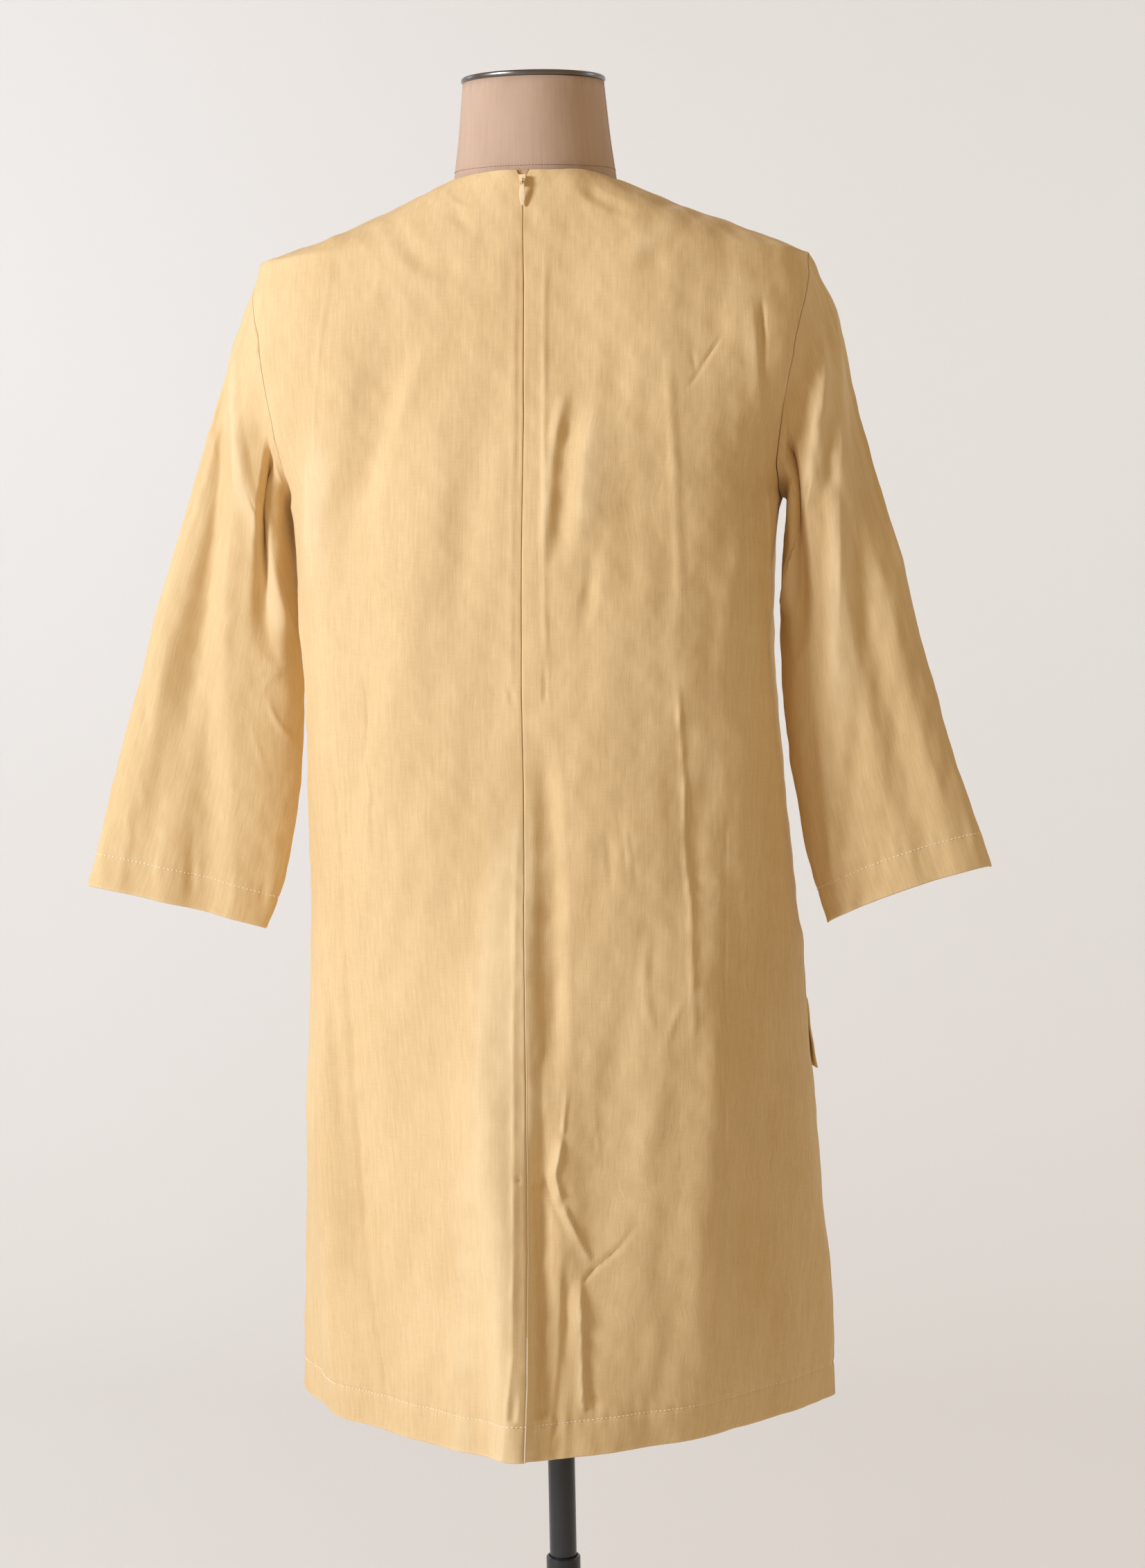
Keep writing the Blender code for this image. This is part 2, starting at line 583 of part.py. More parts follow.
def zip_slider(mat):
    """A tapered body with an arched bail, through which the pull's bar passes."""
    back = slider_face_y()
    face = back + SLIDER_THICK
    top, foot = SLIDER_Z + SLIDER_HEIGHT / 2, SLIDER_Z - SLIDER_HEIGHT / 2
    outline = [(-SLIDER_TOP / 2, top), (-SLIDER_FOOT / 2, foot),
               (SLIDER_FOOT / 2, foot), (SLIDER_TOP / 2, top)]
    body = add_object("zip_slider", extruded(outline, back, face, 1), mat)
    hinge_y, hinge_z = pull_axis()
    sunk = face - BAIL_SINK
    arch = half_round(hinge_y, hinge_z, BAIL_OUTER)
    arch += [(sunk, hinge_z + BAIL_OUTER), (sunk, hinge_z + BAIL_INNER)]
    arch += half_round(hinge_y, hinge_z, BAIL_INNER)[::-1]
    arch += [(sunk, hinge_z - BAIL_INNER), (sunk, hinge_z - BAIL_OUTER)]
    bail = add_object("bail_joined_to_slider",
                      extruded(arch, -BAIL_WIDTH / 2, BAIL_WIDTH / 2, 0), mat)
    bail.hide_render = True
    bail.display_type = "WIRE"
    union = body.modifiers.new("bail", "BOOLEAN")
    union.operation = "UNION"
    union.object = bail


def zip_pull(mat):
    """A teardrop with a window at its top, whose upper bar turns in the slider's bail."""
    outline = []
    for k in range(PULL_FACETS):
        a = 2 * math.pi * (k + 0.5) / PULL_FACETS
        across, along = math.sin(a), math.cos(a)
        down = (1 - along) / 2                               # 0 at the top, 1 at the tip
        swell = math.sin(math.pi * down**PULL_LOW)
        half = (PULL_TOP + (PULL_WIDTH - PULL_TOP) * swell) / 2
        power = PULL_SQUARE_TOP + (PULL_ROUND_TIP - PULL_SQUARE_TOP) * down
        outline.append((math.copysign(abs(across) ** power, across) * half,
                        PULL_BAR - down * PULL_LENGTH))
    w = PULL_WINDOW_WIDTH / 2
    window = [(-w, -PULL_BAR), (w, -PULL_BAR), (w, -PULL_WINDOW), (-w, -PULL_WINDOW)]
    bm = bmesh.new()
    faces = []
    for y in (-PULL_THICK / 2, PULL_THICK / 2):
        loops = [[bm.verts.new((x, y, z)) for x, z in points] for points in (outline, window)]
        edges = [bm.edges.new((loop[i - 1], loop[i])) for loop in loops for i in range(len(loop))]
        bmesh.ops.triangle_fill(bm, edges=edges, use_beauty=True)
        faces.append(loops)
    for low, high in zip(*faces):
        for i in range(len(low)):
            bm.faces.new((low[i - 1], low[i], high[i], high[i - 1]))
    pull = add_object("zip_pull", bm, mat)
    pull.location = (0.0, *pull_axis())                      # its origin is on its hinge line


# ---------------------------------------------------------------- dress form and stand
def ring_points(half_width, back, front, roundness, side_z, back_z, front_z, shift=0.0):
    """A closed ring of the form, anticlockwise seen from above, starting at the centre back."""
    power = 2 / roundness
    points = []
    for k in range(4 * FORM_COLUMNS):
        a = math.pi / 2 * k / FORM_COLUMNS
        across, along = -math.sin(a), math.cos(a)
        centre_z, depth = (back_z, back) if along > 0 else (front_z, front)
        points.append((
            math.copysign(abs(across) ** power, across) * half_width + shift,
            math.copysign(abs(along) ** power, along) * depth,
            centre_z + (side_z - centre_z) * abs(across) ** LEVEL_POWER,
        ))
    return points


def dress_form(mat):
    """Trunk, sloping shoulders with closed arm ends, and neck, in one smooth shell filled solid."""
    rings = [(r.half_width, r.back, r.front, r.roundness, r.height, r.height, r.height)
             for r in TRUNK]
    tip = SHOULDER[0]
    rings.append((FORM_ARM_END, tip.back - FORM_CLEAR_BACK, tip.front - FORM_CLEAR_BACK,
                  FORM_TIP_ROUNDNESS, FORM_TIP_Z, FORM_TIP_BACK_Z, FORM_TIP_FRONT_Z,
                  shoulder_shift(FORM_ARM_END)))
    shoulder = [(s.x, s.z, s.back_z, s.back, s.front_z, s.front) for s in SHOULDER]
    for x, z, back_z, back, front_z, front in spline(shoulder, ROW_STEPS):
        if x < FORM_ARM_END:
            rings.append((x - FORM_CLEAR, back - FORM_CLEAR_BACK, front - FORM_CLEAR,
                          FORM_ROUNDNESS, z - FORM_CLEAR, back_z - FORM_CLEAR,
                          front_z - FORM_CLEAR, shoulder_shift(x)))
    for ring in NECK:
        rings.append((ring.half_width, ring.back, ring.front, FORM_ROUNDNESS, ring.height,
                      ring.height, ring.height))
    bm = bmesh.new()
    loops = [[bm.verts.new(p) for p in ring_points(*ring)] for ring in rings]
    count = len(loops[0])
    for low, high in zip(loops, loops[1:]):
        for i in range(count):
            j = (i + 1) % count
            bm.faces.new((low[i], low[j], high[j], high[i]))
    bm.faces.new(loops[0])
    bm.faces.new(loops[-1])
    return add_object("dress_form", bm, mat, smooth_angle=60)


def turned(name, profile, mat, sides=ROUND_SIDES):
    """A round piece: an outline of (radius, height) points turned about the Z axis."""
    bm = bmesh.new()
    loops = []
    for radius, height in profile:
        if radius == 0:
            loops.append([bm.verts.new((0, 0, height))] * sides)
            continue
        loops.append([bm.verts.new((radius * math.cos(2 * math.pi * k / sides),
                                    radius * math.sin(2 * math.pi * k / sides), height))
                      for k in range(sides)])
    pairs = list(zip(loops, loops[1:]))
    if profile[0][0] and profile[-1][0]:
        pairs.append((loops[-1], loops[0]))
    for low, high in pairs:
        for i in range(sides):
            j = (i + 1) % sides
            corners = []
            for vert in (low[i], low[j], high[j], high[i]):
                if vert not in corners:
                    corners.append(vert)
            if len(corners) > 2:
                bm.faces.new(corners)
    return add_object(name, bm, mat)


def stand(metal, painted):
    """Neck cap; flange, post and pole, which slide in each other; and the round base."""
    cap_low = CAP_TOP - CAP_THICK
    turned("neck_cap", [(0, cap_low), (CAP_RADIUS - EDGE, cap_low), (CAP_RADIUS, cap_low + EDGE),
                        (CAP_RADIUS, CAP_TOP - EDGE), (CAP_RADIUS - EDGE, CAP_TOP),
                        (CAP_RADIUS - CAP_RIM + EDGE, CAP_TOP),
                        (CAP_RADIUS - CAP_RIM, CAP_TOP - EDGE), (0, CAP_TOP - EDGE)],
           metal, sides=2 * ROUND_SIDES)
    foot = TRUNK[0].height - SEAM_GAP
    neck = foot - FLANGE_THICK
    bore = POST_RADIUS + SLIDE_GAP
    turned("form_flange", [(0, foot), (FLANGE_RADIUS, foot), (FLANGE_RADIUS, neck + EDGE),
                           (FLANGE_RADIUS - EDGE, neck), (bore + FLANGE_WALL + EDGE, neck),
                           (bore + FLANGE_WALL, neck - FLANGE_NECK), (bore, neck - FLANGE_NECK),
                           (bore, neck), (0, neck)], painted)
    post_top = neck - SEAM_GAP
    turned("post", [(POST_BORE, POST_BOTTOM), (POST_RADIUS, POST_BOTTOM), (POST_RADIUS, post_top),
                    (POST_BORE, post_top)], painted)
    pole_foot = BASE_THICK + SEAM_GAP
    turned("pole", [(bore, pole_foot), (POLE_RADIUS, pole_foot), (POLE_RADIUS, POLE_TOP - EDGE),
                    (POLE_RADIUS - EDGE, POLE_TOP), (bore + EDGE / 2, POLE_TOP),
                    (bore, POLE_TOP - EDGE)], painted)
    socket = POLE_RADIUS + SLIDE_GAP
    bevel = BASE_THICK / 4
    turned("base", [(0, 0), (BASE_RADIUS, 0), (BASE_RADIUS, BASE_THICK - bevel),
                    (BASE_RADIUS - bevel, BASE_THICK),
                    (socket + SOCKET_WALL + SOCKET_FLARE, BASE_THICK + EDGE),
                    (socket + SOCKET_WALL, SOCKET_TOP), (socket, SOCKET_TOP),
                    (socket, BASE_THICK), (0, BASE_THICK)], painted, sides=2 * ROUND_SIDES)


# ---------------------------------------------------------------- the whole part
def build():
    clear_scene()
    cotton = material("sand_cotton", (0.74, 0.54, 0.29), 0.85)
    tape = material("zip_tape_sand", (0.62, 0.43, 0.22), 0.8)
    enamel = material("zip_enamel", (0.80, 0.60, 0.35), 0.35)
    linen = material("form_linen", (0.52, 0.38, 0.30), 0.9)
    steel = material("cap_steel", (0.22, 0.22, 0.22), 0.25, 1.0)
    black = material("stand_black", (0.018, 0.020, 0.024), 0.4, 0.3)

    fronts = front_panel(cotton)
    for side, word in ((LEFT, "left"), (RIGHT, "right")):
        back = back_panel("back_" + word, side, cotton)
        sleeve("sleeve_" + word, side, back, fronts[side], cotton)
        pocket_flap("pocket_flap_" + word, side, fronts[side], cotton)
    zip_tape(tape)
    zip_slider(enamel)
    zip_pull(enamel)
    dress_form(linen)
    stand(steel, black)


build()
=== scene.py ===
# %% [markdown]
# # A cotton mini dress on a dress form
# The dress hangs on a limbless form with a telescopic stand, seen from behind.  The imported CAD
# part is loaded as a fixed frame.  Each cloth piece is built here again as a finer sheet from the
# same sizes, with its creases, seams and stitches, and stands for its CAD node.

# %% Load the frame
import math
from collections import namedtuple

import bmesh
import bpy
import numpy as np
from mathutils import Matrix, Vector
from mathutils.bvhtree import BVHTree


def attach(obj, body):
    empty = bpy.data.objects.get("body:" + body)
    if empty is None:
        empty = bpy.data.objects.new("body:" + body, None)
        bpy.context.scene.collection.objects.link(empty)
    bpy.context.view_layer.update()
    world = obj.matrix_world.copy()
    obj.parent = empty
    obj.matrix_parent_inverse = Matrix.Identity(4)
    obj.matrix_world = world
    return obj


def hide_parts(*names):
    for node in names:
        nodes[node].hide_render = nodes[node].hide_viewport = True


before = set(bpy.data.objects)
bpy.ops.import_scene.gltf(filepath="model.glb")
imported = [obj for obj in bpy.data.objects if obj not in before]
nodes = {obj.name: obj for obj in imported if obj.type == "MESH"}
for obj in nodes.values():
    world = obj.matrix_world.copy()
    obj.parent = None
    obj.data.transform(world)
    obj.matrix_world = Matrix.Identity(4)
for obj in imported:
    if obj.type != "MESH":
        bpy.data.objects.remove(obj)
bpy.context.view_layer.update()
scene = bpy.context.scene

# %% [markdown]
# ## Camera
# The camera comes first, because the creases of the photo are placed on the cloth through it.  It
# stands behind the dress at bust height, a little to the wearer's right, and looks slightly down.
# The long lens and the small roll were found by matching the ends of the stand, the hem and the
# cuffs.

# %% Camera
PHOTO_WIDTH, PHOTO_HEIGHT = 1652, 2263           # pixels
LENS, SENSOR = 75.56, 36.0
CAMERA_PLACE = Vector((-0.3476, 2.3439, 1.1670))
LOOK_ALONG = Vector((0.1392, -0.9903, 0.0))      # level direction of view
PITCH_DOWN, ROLL = math.radians(5.31), math.radians(1.13)

camera_data = bpy.data.cameras.new("camera")
camera_data.sensor_fit = "VERTICAL"
camera_data.sensor_height = SENSOR
camera_data.lens = LENS
camera = bpy.data.objects.new("camera", camera_data)
scene.collection.objects.link(camera)
scene.camera = camera

along = LOOK_ALONG.normalized()
level_right = along.cross(Vector((0, 0, 1)))
forward = math.cos(PITCH_DOWN) * along - math.sin(PITCH_DOWN) * Vector((0, 0, 1))
level_up = level_right.cross(forward)
right = math.cos(ROLL) * level_right - math.sin(ROLL) * level_up
up = math.cos(ROLL) * level_up + math.sin(ROLL) * level_right
camera.matrix_world = Matrix((
    (right.x, up.x, -forward.x, CAMERA_PLACE.x),
    (right.y, up.y, -forward.y, CAMERA_PLACE.y),
    (right.z, up.z, -forward.z, CAMERA_PLACE.z),
    (0, 0, 0, 1)))
PHOTO_AXES = np.array([right, up, forward])      # across, up and into the photo
print("camera at", [round(v, 2) for v in CAMERA_PLACE])

# %% [markdown]
# ## Sizes of the dress
# A garment is drafted as rings and rows: the girth at the hem, hip, waist and chest, then rows
# across the armholes and shoulders.  These are the tables of the CAD part, so the sheets below
# follow its panels; only the number of steps between two rows is larger.

# %% Tables of the dress body
CLOTH = 0.0012              # thickness of every cloth wall
SEAM_GAP = 0.0003           # space between two pieces at a seam
LEFT, RIGHT = 1, -1         # the wearer's sides, as signs of X

# height: level of the ring.  half_width: side seam to side seam, halved.  shift: how far its
# middle lies to the left.  back, front: depth at the centre back and front.  roundness: 2 is an
# ellipse.  seam_y: how far back the side seams lie.
SkirtRing = namedtuple("SkirtRing", "height half_width shift back front roundness seam_y")
SKIRT = [
    SkirtRing(0.500, 0.1963, -0.0045, 0.172, 0.163, 1.33, 0.000),
    SkirtRing(0.575, 0.1936, -0.0064, 0.160, 0.158, 1.46, 0.006),
    SkirtRing(0.650, 0.1892, -0.0060, 0.150, 0.153, 1.60, 0.009),
    SkirtRing(0.725, 0.1846, -0.0050, 0.141, 0.148, 1.74, 0.010),
    SkirtRing(0.790, 0.1804, -0.0046, 0.133, 0.144, 1.86, 0.010),
    SkirtRing(0.870, 0.1782, -0.0040, 0.124, 0.139, 2.05, 0.009),
    SkirtRing(0.950, 0.1762, -0.0016, 0.117, 0.136, 2.25, 0.008),
    SkirtRing(1.030, 0.1717, 0.0008, 0.111, 0.134, 2.45, 0.007),
    SkirtRing(1.090, 0.1724, 0.0022, 0.106, 0.133, 2.50, 0.006),
    SkirtRing(1.150, 0.1760, 0.0036, 0.100, 0.130, 2.35, 0.005),
]

# side_x, side_y, side_z: the row's end on the armhole seam.  turn: how far round it has turned
# there, in degrees.  centre_z, depth: the row's middle.
ArmholeRow = namedtuple("ArmholeRow", "side_x side_y side_z turn centre_z depth")
BACK_ARMHOLE = [
    ArmholeRow(0.1742, 0.031, 1.172, 76, 1.176, 0.0975),
    ArmholeRow(0.1780, 0.044, 1.202, 66, 1.207, 0.0940),
    ArmholeRow(0.1835, 0.047, 1.235, 62, 1.240, 0.0885),
    ArmholeRow(0.1905, 0.041, 1.268, 62, 1.272, 0.0815),
    ArmholeRow(0.1978, 0.023, 1.299, 72, 1.303, 0.0745),
]
FRONT_ARMHOLE = [
    ArmholeRow(0.1705, 0.024, 1.172, 76, 1.170, 0.1280),
    ArmholeRow(0.1670, 0.040, 1.202, 66, 1.196, 0.1230),
    ArmholeRow(0.1700, 0.045, 1.235, 62, 1.222, 0.1155),
    ArmholeRow(0.1810, 0.037, 1.268, 64, 1.247, 0.1065),
    ArmholeRow(0.1930, 0.020, 1.299, 74, 1.270, 0.0970),
]

# x, z: the row's end on the shoulder seam, from its tip to the neck.
ShoulderRow = namedtuple("ShoulderRow", "x z back_z back front_z front")
SHOULDER = [
    ShoulderRow(0.1985, 1.3228, 1.3315, 0.0690, 1.2880, 0.0900),
    ShoulderRow(0.1500, 1.3400, 1.3490, 0.0640, 1.3010, 0.0845),
    ShoulderRow(0.1040, 1.3580, 1.3660, 0.0600, 1.3130, 0.0790),
    ShoulderRow(0.0612, 1.3755, 1.3810, 0.0575, 1.3250, 0.0735),
]
UNDERARM = len(SKIRT) - 1                       # table row where the armholes start
TIP = UNDERARM + len(BACK_ARMHOLE) + 1          # table row at the shoulder tip
NECK_X = SHOULDER[-1].x
ARMHOLE_ROUNDNESS, SHOULDER_ROUNDNESS = 2.25, 2.0
SHOULDER_SHIFT, ARMHOLE_SHIFT = 0.0040, 0.0036
HEM_CENTRE_DROP = 0.003
ZIP_OPENING = 0.0045        # half the width of the open V at the top of the zip
print("girth of the hem about", round(2 * math.pi * 0.18, 2), "m")

# %% [markdown]
# ## Large folds
# An A-line dress on a narrow form falls in a few deep flutes below the chest.  Each is a line
# round the body between two levels, with a depth inwards (a ridge has a negative depth).

# %% Table of large folds
# angle: 0 at the centre back, 90 at the left side seam, 180 at the centre front.
BodyFold = namedtuple("BodyFold", "angle_top angle_bottom z_top z_bottom depth half_angle")
BODY_FOLDS = [
    BodyFold(268, 268, 1.150, 0.840, 0.016, 21),     # hollow under the right arm
    BodyFold(91, 91, 1.150, 0.880, 0.014, 20),       # hollow under the left arm
    BodyFold(12, 7, 0.840, 0.420, -0.012, 12),       # ridge left of the centre back seam
    BodyFold(-22, -16, 0.860, 0.420, 0.005, 12),     # valley right of it
    BodyFold(36, 42, 1.270, 0.940, 0.004, 14),       # slanting valley below the left shoulder
    BodyFold(-44, -42, 0.900, 0.420, -0.005, 10),    # ridge towards the right side
    BodyFold(60, 54, 0.860, 0.420, -0.012, 13),      # ridge towards the left side
    BodyFold(152, 146, 0.860, 0.420, 0.008, 15),     # front, left valley
    BodyFold(208, 212, 0.900, 0.420, 0.009, 15),     # front, right valley
    BodyFold(180, 178, 0.780, 0.420, -0.006, 13),    # front, middle ridge
]

# %% [markdown]
# ## The body as a fine grid
# Every panel is a grid: rows run from the centre to the side, columns from the hem to the neck.
# A smooth curve through the tables gives as many rows as the creases need.  The rows and columns
# lie closer together at the hem and the seams, where stitches pull the cloth in.

# %% Curves through the tables
SKIRT_STEPS = [64, 32, 32, 28, 34, 34, 34, 26, 26]      # rows between two rings, hem first
ARMHOLE_STEPS = 14
SHOULDER_STEPS = 20
STEPS = SKIRT_STEPS + [ARMHOLE_STEPS] * (TIP - UNDERARM) + [SHOULDER_STEPS] * (len(SHOULDER) - 1)
ROW_AT = np.concatenate([[0], np.cumsum(STEPS)])        # fine row of each table row


def spline(values, steps, breaks=()):
    """Smooth curve through a table's rows, with steps[i] spans after row i; it may turn a corner
    at the rows named in `breaks`."""
    rows = np.asarray(values, float)
    slopes = np.empty_like(rows)
    slopes[1:-1] = (rows[2:] - rows[:-2]) / 2
    slopes[0] = rows[1] - rows[0]
    slopes[-1] = rows[-1] - rows[-2]
    points = [rows[:1]]
    for i, count in enumerate(steps):
        start = rows[i + 1] - rows[i] if i in breaks else slopes[i]
        end = rows[i + 1] - rows[i] if i + 1 in breaks else slopes[i + 1]
        t = (np.arange(1, count + 1) / count)[:, None]
        points.append((2 * t**3 - 3 * t**2 + 1) * rows[i] + (t**3 - 2 * t**2 + t) * start
                      + (3 * t**2 - 2 * t**3) * rows[i + 1] + (t**3 - t**2) * end)
    return np.concatenate(points)


def ease(t):
    t = np.clip(t, 0.0, 1.0)
    return t * t * (3 - 2 * t)


def bump(distance, half_width):
    """1 on a fold's line, falling smoothly to 0 at its half width."""
    return ease(1 - np.abs(distance) / half_width)


def shoulder_shift(x):
    return SHOULDER_SHIFT * (x - NECK_X) / (SHOULDER[0].x - NECK_X)


def body_rows(back):
    """Fine rows of half the body: side x, y, z, turn, centre z, depth, roundness, shift."""
    sides, centres = [], []
    for i, ring in enumerate(SKIRT):
        depth = ring.back if back else ring.front
        drop = HEM_CENTRE_DROP if back and i == 0 else 0.0
        sides.append((ring.half_width, ring.seam_y, ring.height, 90))
        centres.append((ring.height - drop, depth, ring.roundness, ring.shift))
    facing = 1 if back else -1
    for row in BACK_ARMHOLE if back else FRONT_ARMHOLE:
        sides.append((row.side_x, facing * row.side_y, row.side_z, row.turn))
        centres.append((row.centre_z, row.depth, ARMHOLE_ROUNDNESS, ARMHOLE_SHIFT))
    for row in SHOULDER:
        sides.append((row.x, 0.0, row.z, 90))
        level, depth = (row.back_z, row.back) if back else (row.front_z, row.front)
        centres.append((level, depth, SHOULDER_ROUNDNESS, shoulder_shift(row.x)))
    return np.hstack([spline(sides, STEPS, breaks=(UNDERARM, TIP)), spline(centres, STEPS)])


# %% Points, normals and large folds of half the body
BACK_COLUMNS, FRONT_COLUMNS = 160, 74
CLOSER_AT_SEAMS = 0.30      # how much closer the columns lie at the seams


def column_shares(columns):
    t = np.arange(columns + 1) / columns
    return t - CLOSER_AT_SEAMS * np.sin(2 * math.pi * t) / (2 * math.pi)


def body_points(rows, shares, side, back):
    """Points of the rows: share 0 at the centre, 1 at the side seam, armhole or shoulder seam."""
    side_x, side_y, side_z, turn, centre_z, depth, roundness, shift = rows.T[:, :, None]
    end = np.radians(turn)
    here = shares[None, :] * end
    power = 2 / roundness
    across = (np.sin(here) / np.sin(end)) ** power
    level = np.clip((np.cos(here) - np.cos(end)) / (1 - np.cos(end)), 0, None) ** power
    facing = 1 if back else -1
    return np.stack([
        (side * side_x + shift) * across,
        side_y + (facing * depth - side_y) * level,
        centre_z + (side_z - centre_z) * np.sin(shares * math.pi / 2)[None, :] ** 3,
    ], axis=2)


def body_fold(angle, height):
    """How far the large folds draw the wall inwards at an angle and a level."""
    depth = np.zeros_like(height)
    for fold in BODY_FOLDS:
        share = np.clip((fold.z_top - height) / (fold.z_top - fold.z_bottom), 0, 1)
        line = fold.angle_top + (fold.angle_bottom - fold.angle_top) * share
        away = (angle - line + 180) % 360 - 180
        depth += fold.depth * bump(away, fold.half_angle) * np.sin(math.pi * share) ** 0.8
    return depth


def grid_normals(grid):
    normals = np.cross(np.gradient(grid, axis=1), np.gradient(grid, axis=0))
    return normals / np.linalg.norm(normals, axis=2, keepdims=True)


def body_grid(side, back, columns):
    """Outer points and outward normals of half a body, columns from the centre to the side."""
    rows, shares = body_rows(back), column_shares(columns)
    grid = body_points(rows, shares, side, back)
    normals = grid_normals(grid)
    if (side > 0) == back:
        normals = -normals
    sewn = np.r_[0:ROW_AT[UNDERARM] + 1, ROW_AT[TIP]:len(rows)]
    normals[:, 0, 0] = 0.0
    normals[sewn, -1, 1] = 0.0
    normals /= np.linalg.norm(normals, axis=2, keepdims=True)
    away = 90 * shares * (1 if back else -1) * side
    angle = (away if back else 180 + away)[None, :] + np.zeros((len(rows), 1))
    grid -= normals * body_fold(angle, grid[:, :, 2])[:, :, None]
    if back:
        half_gap = np.full(len(rows), SEAM_GAP / 2)
        opening = ROW_AT[-1] - SHOULDER_STEPS // 2
        half_gap[opening:] += (ZIP_OPENING - SEAM_GAP / 2) * np.linspace(
            0, 1, len(rows) - opening)
        grid[:, :, 0] += side * half_gap[:, None] * (1 - shares) ** 4
        grid[:, 0, 0] = side * half_gap
    grid[sewn, -1, 1] += (1 if back else -1) * SEAM_GAP / 2
    return grid, normals


backs = {side: body_grid(side, True, BACK_COLUMNS) for side in (LEFT, RIGHT)}
fronts = {side: body_grid(side, False, FRONT_COLUMNS) for side in (LEFT, RIGHT)}
print("back grid", backs[LEFT][0].shape, "front grid", fronts[LEFT][0].shape)

# %% [markdown]
# ## Sleeves
# A set-in sleeve starts on the armhole seam, rolls over the shoulder and falls to an open cuff.
# With no arm inside it hangs flat.  Each line of the grid is a smooth curve from the seam to the
# cuff, which leaves the seam at the cloth's own slope.

# %% Table of sleeves
# cuff_x, cuff_y, cuff_z: middle of the cuff.  half_width, back, front: its reach from there.
# lean: slope of the cuff line.  rise: how much higher its back hangs.  pull, sag: how far the
# underarm side is drawn in towards the body.
SleeveCut = namedtuple("SleeveCut",
                       "cuff_x cuff_y cuff_z half_width back front lean rise pull sag")
SLEEVES = {
    LEFT: SleeveCut(0.2750, 0.004, 0.8590, 0.0665, 0.020, 0.052, 14.6, 0.004, 0.024, 0.028),
    RIGHT: SleeveCut(0.2600, 0.004, 0.8665, 0.0618, 0.020, 0.052, 19.0, 0.006, 0.044, 0.003),
}
CUFF_ROUNDNESS = 1.7
SLEEVE_ROLL, SLEEVE_FALL, SLEEVE_REACH = 0.017, 0.10, 0.32
BEND_AT_TIP, BEND_AT_BACK, BEND_AT_UNDERARM = -8, -4, 96
TIP_SPREAD = 0.13           # share of the armhole on each side of the tip that follows the tip
# angle: 0 on the outer edge, 90 at the back, 180 at the underarm.
SleeveFold = namedtuple("SleeveFold", "angle start end depth half_angle")
SLEEVE_FOLDS = [
    SleeveFold(134, 0.10, 0.62, 0.017, 24),          # deep hollow behind the underarm
    SleeveFold(62, 0.35, 1.10, 0.005, 22),           # soft valley down the back
    SleeveFold(-70, 0.30, 1.10, 0.006, 24),          # soft valley down the front
]
SLEEVE_ROWS = 200


# %% Sleeve grids
def unit(vectors):
    return vectors / np.linalg.norm(vectors, axis=-1, keepdims=True)


def armhole_ring(back_half, front_half):
    """The armhole's points and body normals, from its tip down the back and up the front."""
    first, last = ROW_AT[UNDERARM], ROW_AT[TIP]
    rings = []
    for back, front in zip(back_half[:2], front_half[:2]):
        down, rise = back[last - 1:first:-1, -1], front[first + 1:last, -1]
        tip = (back[last, -1] + front[last, -1]) / 2
        underarm = (back[first, -1] + front[first, -1]) / 2
        rings.append(np.concatenate([[tip], down, [underarm], rise]))
    return rings[0], unit(rings[1])


def seam_bend(share):
    """Turn of the cloth at the armhole seam, share 0 at the shoulder tip and 1 at the underarm."""
    above = BEND_AT_TIP + (BEND_AT_BACK - BEND_AT_TIP) * ease(share / 0.5)
    below = BEND_AT_BACK + (BEND_AT_UNDERARM - BEND_AT_BACK) * ease((share - 0.5) / 0.5)
    return np.where(share < 0.5, above, below)


